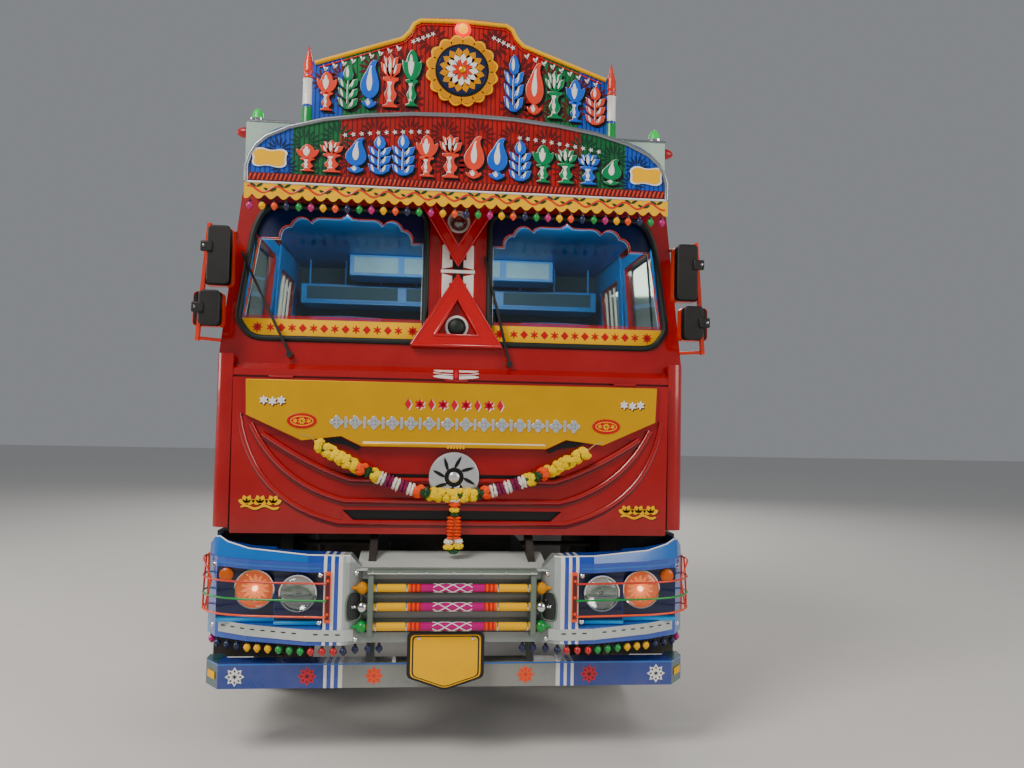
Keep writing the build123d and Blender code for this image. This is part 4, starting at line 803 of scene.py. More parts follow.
class TRUCK_OT_crown(bpy.types.Operator):
    """Dresses the crown board: fans, carved ornaments, the medallion, the beacon and the spires"""
    bl_idname = "truck.crown"
    bl_label = "Crown board"

    def execute(self, context):
        face = upright(CROWN_STATION)
        fans = []
        for x, z, radius in ((300, 3585, 110), (470, 3560, 90), (640, 3510, 80), (170, 3740, 90), (735, 3480, 70),
                             (420, 3400, 90), (600, 3395, 80), (290, 3400, 90)):
            fans += petals(x, z, radius, 14, inner=0.3, slim=0.5)
        boards.plates("crown_fans", both_sides(fans), face, 0, 1.6, maroon_enamel)
        edge = mirrored_line(CROWN_HALF)[::-1]
        boards.tubes("crown_edge", [[face(x * 0.985, z, 4) for x, z in edge]], 12, yellow_enamel)
        boards.tubes("crown_inner_line", [[face(x * 0.957, z - 22, 3) for x, z in edge]], 4, red_enamel)
        places = [(x + i * step, foot + way * i * 12, 110, height + way * i * 26, FORMS[(i + first) % 4], keys[i % 3])
                  for x, step, foot, height, way, first, keys in (
                      (-776, 112, 3318, 216, 1, 0, ("salmon", "green", "blue")),
                      (224, 113, 3366, 320, -1, 1, ("blue", "salmon", "green"))) for i in range(5)]
        ornament_row("crown_ornaments", places, face)
        sprigs = []
        for i in range(9):
            x = 345 + i * 48
            z = 3690 - (x - 330) * 0.345
            sprigs += [moved(PETAL, x, z - 14, 26, 34, turn=-0.5), moved(PETAL, x + 8, z - 18, 24, 30, turn=0.7)]
        for i in range(5):
            sprigs += petals(166 + i * 26, 3772 - i * 12, 14, 5)
        boards.plates("crown_sprigs", both_sides(sprigs), face, 1.5, 5, white_enamel)
        x, z = -4, 3573
        for part, outlines, low, high, paint, bevel in (
                ("scallops", [wavy_circle(x, z, 198, 20, 16)], 14, 22, yellow_enamel, 3),
                ("petals", petals(x, z, 186, 16, inner=0.72), 21, 25, ochre_enamel, 1),
                ("ring", [circle(x, z, 146, 48)], 21, 26, black_enamel, 2),
                ("field", [circle(x, z, 132, 48)], 26, 28, navy_enamel, 1),
                ("rosette_outer", petals(x, z, 124, 16, inner=0.25), 28, 31, ochre_enamel, 1.2),
                ("rosette_middle", petals(x, z, 90, 12, 0.2, inner=0.2), 31, 34, white_enamel, 1.2),
                ("rosette_inner", petals(x, z, 60, 8, inner=0.1), 34, 37, salmon_enamel, 1.2)):
            boards.plates(f"medallion_{part}", outlines, face, low, high, paint, bevel)
        boards.turned("medallion_boss", [(0, 0), (20, 0), (17, 8), (8, 13), (0, 14)], [face(x, z, 35)], gold_enamel,
                      axis=FORWARDS)
        lamp = face(-4, 3806, 0)
        boards.turned(
            "beacon_base", [(0, 0), (44, 0), (44, 8), (30, 14), (0, 14)], [lamp], beacon_red, axis=FORWARDS, steps=32)
        cab_lamps.turned("beacon_lamp", [(0, 0), (27, 0), (27, 14), (20, 28), (9, 35), (0, 37)],
                         [lamp + Vector((0, -0.010, 0))], beacon_glow, axis=FORWARDS, steps=32)
        for side, word in SIDES:
            for part, profile, paint in SPIRE:
                boards.turned(f"spire_{part}_{word}", profile, [at(side * 822, 226, 3150)], paint)
        return {"FINISHED"}


ARCH_HALF = ((1080, 2868), (1082, 2950), (1066, 3004), (1036, 3058), (985, 3104), (876, 3156), (700, 3205),
             (500, 3236), (260, 3258), (0, 3265))
BULB = ((0, -57), (6, -55), (9, -50), (16, -42), (18, -34), (14, -24), (7, -17), (0, -16))
BULB_CAP = ((0, -19), (8, -18), (8, -10), (2, -6), (2, 2), (0, 2))
BULB_TINTS = ("magenta", "yellow", "orange", "blue", "green")
BULB_PAINTS = {"magenta": magenta_enamel, "yellow": yellow_enamel, "orange": orange_enamel, "blue": navy_enamel,
               "green": green_enamel, "red": red_enamel}


def hanging_bulbs(name, places, group):
    """Small painted bulbs that hang on wires: places are (point, colour key)."""
    for key in sorted({key for _, key in places}):
        group.turned(f"{name}_{key}", BULB, [point for point, tint in places if tint == key], BULB_PAINTS[key],
                     steps=12)
    group.turned(f"{name}_caps", BULB_CAP, [point for point, _ in places], black_enamel, steps=8)


class TRUCK_OT_visor(bpy.types.Operator):
    """Dresses the visor board: fans, hatched band, carved ornaments, plaques and edging"""
    bl_idname = "truck.visor"
    bl_label = "Visor board"

    def execute(self, context):
        face = upright(VISOR_STATION)
        edge = mirrored_line(ARCH_HALF)
        boards.tubes("visor_edge", [[face(x * 1.006, z + 6, 2) for x, z in edge]], 12, edge_metal)
        centres = (
            (90, 3170, 84), (270, 3165, 84), (450, 3150, 84), (640, 3120, 90), (800, 3085, 80), (930, 3040, 70),
            (60, 3010, 90), (360, 3000, 90), (560, 3000, 90), (720, 2990, 80), (900, 2950, 70))
        for key, low, high, paint in (("maroon", 0, 600, maroon_enamel), ("dark_green", 600, 840, dark_green_enamel),
                                      ("navy", 840, 1200, navy_enamel)):
            fans = [petal for x, z, radius in centres if low <= x < high
                    for petal in petals(x, z, radius, 16, inner=0.3, slim=0.36)]
            boards.plates(f"visor_fans_{key}", both_sides(fans), face, 0, 1.5, paint)
        boards.plates("visor_hatch_ground", [rectangle(-1084, 1084, 2880, 2922)], face, 0, 2, maroon_enamel)
        hatch = [[(x, 2884), (x + 9, 2884), (x + 21, 2918), (x + 12, 2918)] for x in range(-1080, 1060, 22)]
        boards.plates("visor_hatch", hatch, face, 2, 4, salmon_enamel, 0.8)
        keys = (*("salmon",) * 2, *("blue",) * 3, *("salmon",) * 3, *("blue",) * 2, *("green",) * 2, "blue", "green")
        places = [(-844 + i * 121, 2938, 118, 228 - 0.00014 * (i * 121 - 786) ** 2, FORMS[(i * 3 + i // 4) % 4], key)
                  for i, key in enumerate(keys)]
        ornament_row("visor_ornaments", places, face)
        for side, word in SIDES:
            x, z = side * 975, 2998
            cloud = moved(softened([(-88, -34), (-62, -50), (-10, -38), (52, -54), (90, -36), (82, 0), (94, 34),
                                    (60, 50), (6, 36), (-50, 56), (-92, 32), (-80, 0)], 2), x, z)
            inner = shrunk(cloud, x, z, 0.88, 0.84)
            boards.plates(f"plaque_{word}", [cloud], face, 2, 8, white_enamel, 1.5)
            boards.plates(f"plaque_field_{word}", [inner], face, 8, 10, yellow_enamel, 1)
        sprigs = [petal for i in range(11) for x in (-600 + i * 42, 300 + i * 42)
                  for petal in petals(x, 3178 - 0.00012 * x * x, 13, 5)]
        boards.plates("visor_sprigs", sprigs, face, 1.5, 4.5, white_enamel)
        return {"FINISHED"}


class TRUCK_OT_valance(bpy.types.Operator):
    """Hangs the scalloped valance and its row of painted bulbs under the visor"""
    bl_idname = "truck.valance"
    bl_label = "Valance and bulbs"

    def execute(self, context):
        face = upright(VISOR_STATION)
        scallops = [(x, 2812 - 26 * abs(sin(pi * x / 62))) for x in range(-1095, 1105, 10)]
        boards.plates("valance_sheet", [[(1095, 2868), (-1095, 2868), *scallops]], face, 0.5, 4, yellow_enamel)
        wave = [(x, 2836 + 17 * sin(2 * pi * x / 138)) for x in range(-1080, 1081, 12)]
        boards.pipes("valance_wave", [wave], 5.5, 3, face, 4, salmon_enamel)
        leaves = [moved(PETAL, -1035 + i * 69, 2826 if i % 2 else 2848, 34, 38, turn=turn)
                  for i in range(31) for turn in (1.1, -1.1)]
        boards.plates("valance_leaves", leaves, face, 4, 6, dark_green_enamel)
        boards.tubes("valance_top_bead", [[face(x, 2872, 4) for x in (-1090, 1090)]], 6, white_enamel)
        count = context.scene.truck_sizes.bulb_count
        hanging_bulbs("valance_bulbs", [(face(-1065 + 2130 * i / (count - 1), 2787, 1), BULB_TINTS[i % 5])
                                        for i in range(count)], boards)
        return {"FINISHED"}


class TRUCK_OT_roof_box(bpy.types.Operator):
    """Dresses the roof box: edging, ribs, dome lamps and side markers"""
    bl_idname = "truck.roof_box"
    bl_label = "Roof box"

    def execute(self, context):
        top = [at(x, s, 3290) for x, s in ((-1160, 336), (1160, 336), (1160, 1000), (-1160, 1000))]
        box_trim.tubes("box_top_edging", [top], 7, edge_metal, closed=True)
        ribs = [block(side, 1156, 1169, s, s + 26, 2915, 3280) for s in (420, 600, 780, 940) for side in (-1, 1)]
        ribs += [(x - 14, x + 14, 998, 1006, 2990, 3280) for x in range(-820, 821, 410)]
        box_trim.boxes("box_ribs", ribs, box_enamel)
        domes = both_at(1110, 386, 3285)
        cab_lamps.turned(
            "dome_lamps", [(0, 26), (32.5, 27), (28, 62), (21, 76), (13, 84), (0, 90)], domes, green_lamp, steps=24)
        box_trim.turned("dome_lamp_bases", [(0, 0), (44, 0), (44, 27), (33, 30), (0, 30)], domes, chrome, steps=24)
        for side, word in SIDES:
            cab_lamps.turned(
                f"side_marker_{word}", [(27.5, 2), (27.5, 16), (30, 18), (28, 34), (20, 54), (9, 65), (0, 68)],
                [at(side * 1156, 396, 3240)], red_lens, axis=(side, 0, 0))
        box_trim.tubes("marker_wires",
                       [[at(side * 1150, 386, 3296), at(side * 1128, 384, 3299), at(side * 1112, 360, 3296)]
                        for side in (-1, 1)], 3, seal_rubber, smooth=True)
        return {"FINISHED"}


class TRUCK_OT_windscreen(bpy.types.Operator):
    """Fits the windscreens' seals, bands, arched film and the pillar trim between them"""
    bl_idname = "truck.windscreen"
    bl_label = "Windscreens and pillar"

    def execute(self, context):
        radius = context.scene.truck_sizes.seal_radius * 1000
        for side, word in SIDES:
            line = [on_screen(side * x, z, 0) for x, z in rounded(PANE, 70)]
            cab_trim.tubes(f"screen_seal_{word}", [line], radius, seal_rubber, closed=True)
        glass = -21.4
        band = [(176, 2106), (1086, 2106), (1130, 2170), (1142, 2206), (176, 2206)]
        boards.plates("screen_bands", both_sides([band]), on_screen, glass, glass + 1, yellow_enamel)
        lines = [rectangle(178, 1140, 2209, 2214), rectangle(178, 1140, 2219, 2223), rectangle(182, 1098, 2112, 2117)]
        boards.plates("screen_band_lines", both_sides(lines), on_screen, glass + 1, glass + 2, red_enamel)
        figures = []
        for x in (236, 1052):
            figures += [star(x, 2160, 30, 17, 8), *petals(x, 2160, 15, 6)]
        for i in range(13):
            x = 312 + i * 56
            figures += [lozenge(x, 2160, 22, 24)] if i % 2 else petals(x, 2160, 24, 6)
        boards.plates("screen_band_figures", both_sides(figures), on_screen, glass + 1, glass + 2, red_enamel)
        half = [(0, 2800), (12, 2787), (32, 2774), (60, 2771), (145, 2772), (166, 2768), (185, 2757), (196, 2742),
                (205, 2754), (222, 2767), (244, 2771), (266, 2766), (290, 2748), (303, 2722), (326, 2718),
                (346, 2702), (356, 2678), (358, 2648)]
        arch = [*[(605 + u, z) for u, z in reversed(half)], *[(605 - u, z) for u, z in half[1:]]]
        line = [(1126, 2226), (1068, 2648), *arch, (184, 2648), (184, 2226)]
        boards.pipes("screen_arches", both_sides([line]), 3.5, 1.2, on_screen, glass + 0.4, orange_enamel)
        boards.pipes("screen_arch_inner_lines", both_sides([[(x + (9 if x < 605 else -9), z - 9) for x, z in line]]),
                     1.5, 1, on_screen, glass + 0.4, white_enamel)
        film = [(1072, 2650), *arch, (178, 2648), (178, 2816), (1030, 2816), (1066, 2740), (1092, 2690)]
        boards.plates("screen_film", both_sides([film]), on_screen, glass, glass + 0.5, navy_enamel)
        cab_skin.plates("pillar_panels", [rectangle(-118, 118, 2092, 2470), rectangle(-118, 118, 2522, 2860)],
                        on_screen, 0.5, 3, cab_enamel)
        boards.plates(
            "pillar_white_plates",
            [rectangle(-92, 92, 2486, 2504),
             *both_sides([[(46, 2600), (46, 2560), (30, 2560), (30, 2520), (86, 2508), (86, 2640), (66, 2650)],
                          [(46, 2376), (46, 2430), (30, 2430), (30, 2468), (86, 2482), (86, 2330), (66, 2340)]])],
            on_screen, 3, 6, white_enamel, 1)
        cab_trim.plates("pillar_channel", [rectangle(-28, 28, 2400, 2600)], on_screen, 2, 4, black_enamel)
        boards.plates("pillar_strips", both_sides([rectangle(92, 100, 2540, 2700), rectangle(92, 100, 2300, 2460)]),
                      on_screen, 4, 7, red_enamel)
        low, high = on_screen(0, 2188, 3), on_screen(0, 2772, 3)
        for name, group, profile, places, material in (
                ("lamp_rings", cab_trim, ((0, 0), (62, 0), (62, 6), (50, 9), (50, 3), (0, 3)), [low, high],
                 white_enamel),
                ("dark_dome", cab_lamps, ((0, 3), (49, 3), (44, 16), (28, 27), (0, 32)), [low], seal_rubber),
                ("clear_lamp", cab_lamps, ((0, 3), (49, 3), (44, 18), (28, 30), (0, 36)), [high], lamp_glass),
                ("lamp_bowl", cab_lamps, ((0, 3.5), (46, 4), (30, 5), (12, 8), (0, 12)), [high], reflector)):
            group.turned(f"pillar_{name}", profile, places, material, axis=FORWARDS, steps=32)
        edges = [[(-200, 2862), (0, 2523), (200, 2862)], [(-240, 2084), (0, 2472), (240, 2084), (-240, 2084)],
                 [(-134, 2862), (0, 2636), (134, 2862)], [(-118, 2140), (0, 2342), (118, 2140), (-118, 2140)]]
        cab_skin.pipes("triangle_edges", edges, 9, 7, on_screen, 37.5, red_enamel)
        return {"FINISHED"}


EMBLEM_Z = 1390
SMILES = ((1105, 1700, 945, 1340, 590, 1150), (1045, 1650, 850, 1400, 560, 1262), (985, 1600, 750, 1460, 530, 1370))


def on_cowl(x, z, lift):
    """The cab front's nose between the front panel and the windscreens."""
    slope = max(0, z - 1935) * 56.5 / 30
    return at(x, 165 + (z - 1900) / 7 + slope - lift, z)


class TRUCK_OT_fascia(bpy.types.Operator):
    """Dresses the front panel: gold field, emblem ring, slots, medallions and flourishes"""
    bl_idname = "truck.fascia"
    bl_label = "Front panel"

    def execute(self, context):
        panel = upright(PANEL_STATION)
        field = upright(PANEL_STATION - 12)
        gold = [(x * 0.992, 1560 + (z - 1560) * 0.985 + 2) for x, z in GOLD]
        panel_skin.plates("gold_field", [mirrored_line(gold)], field, 0.3, 3, gold_enamel, 3)
        wedge = [(484, 1538), (592, 1588), (690, 1578), (640, 1556), (560, 1548), (500, 1520)]
        panel_trim.plates("gold_shadow_gaps", both_sides([wedge]), panel, 0.2, 3, black_enamel)
        panel_skin.plates("gold_lip", [rectangle(-478, 478, 1543, 1562)], field, 2.5, 14, gold_enamel, 4)
        panel_trim.plates("gold_lip_edge", [rectangle(-474, 474, 1562, 1568)], field, 3, 8, white_enamel, 1)
        panel_trim.plates("lip_tab", [rectangle(-40 + 16 * i, -30 + 16 * i, 1538, 1556) for i in range(6)], field,
                          13, 17, yellow_enamel, 1)
        for x, word in ((-785, "right"), (800, "left")):
            oval = [(x + (74 + 3 * (i % 2)) * cos(pi * i / 24), 1668 + (38 + 3 * (i % 2)) * sin(pi * i / 24))
                    for i in range(48)]
            panel_paint.plates(f"gold_oval_{word}", [oval], field, 3, 6, red_enamel, 1)
            panel_paint.pipes(
                f"gold_oval_line_{word}",
                [[(x + 56 * cos(pi * i / 16), 1668 + 24 * sin(pi * i / 16)) for i in range(33)]], 2.5, 2, field, 5.5,
                yellow_enamel)
            panel_paint.plates(f"oval_petals_{word}", [*petals(x, 1668, 20, 8), *petals(x - 34, 1668, 13, 6),
                                                       *petals(x + 34, 1668, 13, 6)], field, 5.5, 7.5, yellow_enamel)
        blossoms = [line for x, z in ((-936, 1766), (940, 1780)) for step in (-1, 0, 1)
                    for line in petals(x + 44 * step, z + 5 * step * step, 24, 6, start=step, slim=1.3)]
        panel_paint.plates(
            "gold_blossoms_shadow", [moved(line, 5, -6) for line in blossoms], field, 3, 4.2, maroon_enamel)
        panel_paint.plates("gold_blossoms", blossoms, field, 4, 6, white_enamel, 0.8)
        motif = []
        for i in range(9):
            x = -246 + i * 60
            motif += (petals(x, 1766, 28, 6, slim=1.4) if i % 2 else [lozenge(x, 1766, 17, 30)])
        panel_paint.plates("gold_motif_edges", [moved(line, 5, -4) for line in motif], field, 3, 3.8, white_enamel)
        panel_paint.plates("gold_motif", motif, field, 3.4, 5, crimson_enamel)
        silver = []
        for i in range(14):
            x = -610 + i * 95
            silver += [*petals(x, 1665, 37, 4, start=-pi / 4, slim=2.2),
                       *([rounded(rectangle(x + 40, x + 55, 1634, 1696), 7)] if i < 13 else [])]
        panel_metal.plates("gold_silver_leaves", silver, field, 3, 8, foil, 1.5)
        panel_metal.turned(
            "emblem_disc", [(126, 0), (131, 5), (129, 14), (118, 18), (90, 20), (56, 18), (50, 12), (50, 0)],
            [panel(0, EMBLEM_Z, 8)], foil, axis=FORWARDS, steps=64)
        vents = [moved([(0.6 * px, pz) for px, pz in PETAL], 44 * cos(pi * i / 4), EMBLEM_Z + 44 * sin(pi * i / 4),
                       76, turn=pi * i / 4 - pi / 2 - 0.5) for i in range(8)]
        panel_trim.plates("emblem_vents", vents, panel, 27, 29.5, black_enamel)
        panel_trim.turned("emblem_hub", [(0, 0), (50, 0), (50, 12), (0, 12)], [panel(0, EMBLEM_Z, 4)], black_enamel,
                          axis=FORWARDS, steps=48)
        panel_metal.turned("emblem_dome", [(0, 0), (28, 0), (27, 6), (18, 12), (0, 15)], [panel(0, EMBLEM_Z, 16)],
                           foil, axis=FORWARDS, steps=32)
        slots = [rectangle(-568, 568, 1162, 1213), *both_sides([rectangle(132, 618, 1376, 1400)])]
        panel_trim.plates("slot_backs", slots, panel, -27.6, -24, black_enamel)
        panel_skin.plates(
            "slot_corners", both_sides([[(569, 1161), (569, 1214), (512, 1161)]]), panel, -22, 0.5, cab_enamel)
        creases = []
        for end_x, end_z, mid_x, mid_z, low_x, low_z in SMILES:
            side = [((1 - t) ** 2 * end_x + 2 * t * (1 - t) * (2 * mid_x - 0.5 * (end_x + low_x)) + t * t * low_x,
                     (1 - t) ** 2 * end_z + 2 * t * (1 - t) * (2 * mid_z - 0.5 * (end_z + low_z)) + t * t * low_z)
                    for t in [i / 12 for i in range(13)]]
            creases.append([*side, *[(-x, z) for x, z in reversed(side)]])
        panel_skin.pipes("panel_creases", creases, 14, 10, panel, -3, cab_enamel)
        panel_skin.pipes(
            "panel_crease_shadows", [moved(line, 0, -18) for line in creases], 7, 1, panel, 0.2, maroon_enamel)
        leaves = []
        for side, z in ((-1, 1240), (1, 1208)):
            x = side * 984
            for share in (-1, 0, 1):
                leaves += petals(x + 66 * share, z + 2, 46, 4, sweep=pi, slim=1.5)
            leaves += [
                stroke([(x - 96 + 12 * i, z - 16 + 8 * sin(pi * i / 4)) for i in range(17)], [6, *[12] * 15, 6])]
        panel_paint.plates(
            "corner_leaves_shadow", [moved(line, 4, -4) for line in leaves], panel, 0.2, 1.2, maroon_enamel)
        panel_paint.plates("corner_leaves", leaves, panel, 1, 3.5, yellow_enamel, 0.8)
        cowl = [stroke([(side * (16 + 13 * i), z + rise * sin(pi * i / 16)) for i in range(9)],
                       [15, 17, 17, 17, 17, 16, 14, 10, 4])
                for z, rise in ((1910, 6), (1932, 3.6), (1951, 0)) for side in (-1, 1)]
        boards.plates("cowl_strokes", cowl, on_cowl, 0.5, 2.5, white_enamel)
        drop = [(0, 1902), *mirrored_line([(9, 1912), (11, 1924), (8, 1936), (4, 1948), (0, 1960)])]
        boards.plates("cowl_drop", [drop], on_cowl, 2, 4, crimson_enamel)
        return {"FINISHED"}


GARLAND_ROUTE = ((-700, 1552), (-585, 1482), (-454, 1418), (-322, 1362), (-192, 1318), (-62, 1297), (72, 1299),
                 (200, 1322), (330, 1362), (457, 1412), (580, 1472), (690, 1534))
GARLAND_STATION = 88
THREADED = ("yellow", "yellow", "yellow", "yellow", "yellow", "yellow", "orange", "leaf", "yellow", "white",
            "purple", "white", "purple", "white", "orange", "leaf", "yellow", "yellow", "yellow")
FLOWER_PAINTS = {
    "yellow": marigold, "orange": orange_flower, "white": white_flower, "purple": purple_flower, "leaf": leaf_green}


def evenly_along(data, count):
    """Points at even distances along an unbevelled copy of a curve, with the direction at each."""
    bare = data.copy()
    bare.bevel_depth = 0
    holder = bpy.data.objects.new("route", bare)
    mesh = bpy.data.meshes.new_from_object(holder)
    line = [vertex.co.copy() for vertex in mesh.vertices]
    bpy.data.objects.remove(holder)
    bpy.data.meshes.remove(mesh)
    bpy.data.curves.remove(bare)
    lengths = [(b - a).length for a, b in zip(line, line[1:])]
    places = []
    for i in range(count):
        left = sum(lengths) * (i + 0.5) / count
        for (a, b), run in zip(zip(line, line[1:]), lengths):
            if left <= run:
                places.append((a + (b - a) * left / run, (b - a).normalized()))
                break
            left -= run
    return places


def flower_heads(name, heads, material, chance):
    """Ruffled flower heads: each is (centre, direction it is flattened along, radius, thickness)."""
    work = bmesh.new()
    bmesh.ops.create_icosphere(work, subdivisions=3, radius=1)
    shape = [vertex.co.copy() for vertex in work.verts]
    facets = [[vertex.index for vertex in face.verts] for face in work.faces]
    work.free()
    verts, faces = [], []
    for centre, direction, radius, thickness in heads:
        turn = Vector((0, 0, 1)).rotation_difference(direction).to_matrix()
        start = len(verts)
        for point in shape:
            ruffle = chance.uniform(0.74, 1.12)
            verts.append(centre + turn @ Vector((point.x * radius * ruffle, point.y * radius * ruffle,
                                                 point.z * thickness * ruffle)) / 1000)
        faces += [[start + i for i in facet] for facet in facets]
    return flowers.solid(name, verts, faces, material, angle=20)


class TRUCK_OT_garland(bpy.types.Operator):
    """Hangs the flower garland across the front panel, with its tassel"""
    bl_idname = "truck.garland"
    bl_label = "Garland"

    def execute(self, context):
        size = context.scene.truck_sizes.flower_size * 500
        data = bpy.data.curves.new("garland_string", "CURVE")
        data.dimensions = "3D"
        data.resolution_u = 8
        data.bevel_depth = 0.019
        data.bevel_resolution = 3
        data.use_fill_caps = True
        spline = data.splines.new("NURBS")
        spline.points.add(len(GARLAND_ROUTE) - 1)
        for point, (x, z) in zip(spline.points, GARLAND_ROUTE):
            point.co = (*at(x, GARLAND_STATION, z), 1)
        spline.order_u = 3
        spline.use_endpoint_u = True
        string = flowers.place(bpy.data.objects.new("garland_string", data), leaf_green)
        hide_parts("garland")
        chance = random.Random(7)
        heads = {key: [] for key in FLOWER_PAINTS}
        order = [*THREADED, *THREADED[::-1]]
        for (centre, run), key in zip(evenly_along(data, len(order)), order):
            across = Vector(FORWARDS).cross(run).normalized()
            if key in ("white", "purple"):
                heads[key] += [(centre + run * jump / 1000, run, size * 1.12, 12) for jump in (-10, 9)]
            elif key == "leaf":
                heads[key].append((centre, run, size * 1.1, 13))
            else:
                for i in range(6):
                    turn = 2 * pi * i / 6 + chance.uniform(-0.3, 0.3)
                    offset = (across * cos(turn) + Vector(FORWARDS) * sin(turn)) * size * 0.72 / 1000
                    jump = run * chance.uniform(-0.016, 0.016)
                    heads[key].append((centre + offset + jump, offset.normalized(), size * 0.68, size * 0.5))
        tassel = {key: [] for key in FLOWER_PAINTS}
        for x, z, key, radius in (
                (5, 1276, "white", 32), (5, 1254, "orange", 30), (5, 1226, "yellow", 28), (5, 1202, "leaf", 22),
                (-22, 1062, "white", 24), (30, 1066, "white", 24), (-20, 1036, "yellow", 30),
                (28, 1040, "yellow", 30), (4, 1014, "leaf", 26)):
            tassel[key].append((at(x, GARLAND_STATION, z), Vector((0, 0, 1)), radius, 16))
        for i in range(7):
            for x in (-13, 21):
                tassel["orange"].append((at(x, GARLAND_STATION, 1184 - i * 17), Vector((0, 0, 1)), 20, 8.5))
        threaded = [flower_heads(f"garland_{key}", items, FLOWER_PAINTS[key], chance) for key, items in heads.items()]
        for key, items in tassel.items():
            if items:
                flower_heads(f"tassel_{key}", items, FLOWER_PAINTS[key], chance)
        core = flowers.tubes("tassel_string", [[at(5, GARLAND_STATION, z) for z in (1290, 1012)]], 6, string_cotton)
        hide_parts("garland_tassel")
        knots = ((692, 96, 1545), (740, 124, 1580), (790, 126, 1596))
        ties = flowers.tubes("garland_ties", [[at(side * x, s, z + up) for x, s, z in knots]
                                              for side, up in ((-1, 6), (1, -8))], 2.5, string_cotton)
        return {"FINISHED"}


def pieces_between(x0, x1, z0, z1, path):
    """A rectangle that is cut at the corners of a plan path, so that it can follow them."""
    cuts = [x0, *[x for x, _ in path if x0 < x < x1], x1]
    return [rectangle(a, b, z0, z1) for a, b in zip(cuts, cuts[1:])]


def on_bumper_top(x, z, lift):
    """The bumper's face where it leans back above its fold."""
    return on_bumper(x, z, lift) + Vector((0, 20 * (z - 985) / 105, 0)) / 1000


def middle_top(x, station, lift):
    """The pale sheet behind the rack's shelf, which rises towards the cab."""
    return at(x, station, 944 + (station + 88) * 0.14 + lift)


class TRUCK_OT_bumper(bpy.types.Operator):
    """Dresses the front bumper: painted highlight on top, perforated strip, pockets, bolts and hanging bulbs"""
    bl_idname = "truck.bumper"
    bl_label = "Front bumper"

    def execute(self, context):
        lip = {500: 1016, 520: 1016, 700: 1019, 1000: 1035, 1120: 1058, 1166: 1081, 1170: 1079, 1200: 1074,
               1228: 1038}
        stops = sorted(lip)
        # Painted highlight: the top faces of the bumper's ends in a paler blue, where light falls on them
        for side, word in SIDES:
            rows = [[on_bumper_top(side * x, z, lift) for x in stops[2:] for z in (987, lip[x])]
                    for lift in (0.3, 1.5)]
            count = len(rows[0])
            faces = [(a, a + 1, b + 1, b) for i in range(0, count - 2, 2)
                     for a, b in ((i, i + 2), (count + i, count + i + 2))]
            faces += [(i, i + 2, count + i + 2, count + i) for i in range(count - 2)]
            faces += [(i, i + 1, count + i + 1, count + i) for i in (0, count - 2)]
            bumper_paint.solid(f"bumper_top_highlight_{word}", [*rows[0], *rows[1]], faces, pale_blue_highlight, angle=60)
        edge = [on_bumper_top(x, lip[x] + 2, -3) for x in stops]
        bumper_paint.tubes("bumper_top_bead", mirrored_points([edge]), 4, white_enamel)
        low = both_sides([[(a, 597 + 0.02 * a), (b, 597 + 0.02 * b), (b, 652 + 0.02 * b), (a, 652 + 0.02 * a)]
                          for a, b in ((480, 520), (520, 700), (700, 1000), (1000, 1150))])
        frame_sheet.plates("bumper_low_strip", low, on_bumper, 0.4, 4, pale_enamel, 1)
        dots = [rectangle(x, x + 22, 628 + 0.02 * x, 634 + 0.02 * x) for x in range(540, 1130, 52)
                if not any(x - 6 < corner < x + 28 for corner, _ in BUMPER_PATH)]
        frame_trim.plates("bumper_low_slots", both_sides(dots), on_bumper, 3.5, 4.6, black_enamel)
        # Painted highlight along the fold where the bumper's face leans back
        folds = both_sides(pieces_between(640, 1210, 955, 963, BUMPER_PATH))
        bumper_paint.plates("bumper_fold_highlight", folds, on_bumper, 0.4, 2, pale_blue_highlight)
        pocket = rounded([(446, 706), (508, 700), (516, 730), (516, 800), (500, 846), (446, 838)], 26)
        frame_trim.plates("bumper_pockets", both_sides([pocket]), on_bumper, 0.5, 2, pocket_enamel)
        bumper_paint.pipes("bumper_pocket_rims", both_sides([[*pocket, pocket[0]]]), 4, 5, on_bumper, 1, rack_enamel)
        bolts = [on_bumper(side * x, z, 0) for side in (-1, 1) for x, z in
                 ((470, 930), (470, 610), (640, 700), (640, 925), (1190, 640), (1190, 940))]
        frame_metal.turned("bumper_bolts", [(0, 0), (11, 0), (11, 4), (7, 7), (7, 12), (0, 12)], bolts, chrome,
                           axis=FORWARDS, steps=12)
        bumper_paint.plates("bumper_middle_top", [rectangle(-474, 474, -88, 236)], middle_top, 0, 4, pale_enamel, 1)
        grille = [rectangle(-430, 430, 648 + 42 * i, 660 + 42 * i) for i in range(6)]
        rack_plates.plates("bumper_middle_ribs", grille, upright(-30), 0.5, 12, rack_enamel, 2)
        order = ("magenta", *("blue",) * 3, *("yellow",) * 3, *("green",) * 3, *("red",) * 3, *("blue",) * 4)
        places = [(on_bumper(side * (1218 - i * 54), 593, -14), key)
                  for side in (-1, 1) for i, key in enumerate(order)]
        hanging_bulbs("bumper_bulbs", places, bumper_paint)
        return {"FINISHED"}


LAMPS = (("outer", 978, 831, 98, 70, 34), ("inner", 752, 829, 90, -20, 40))


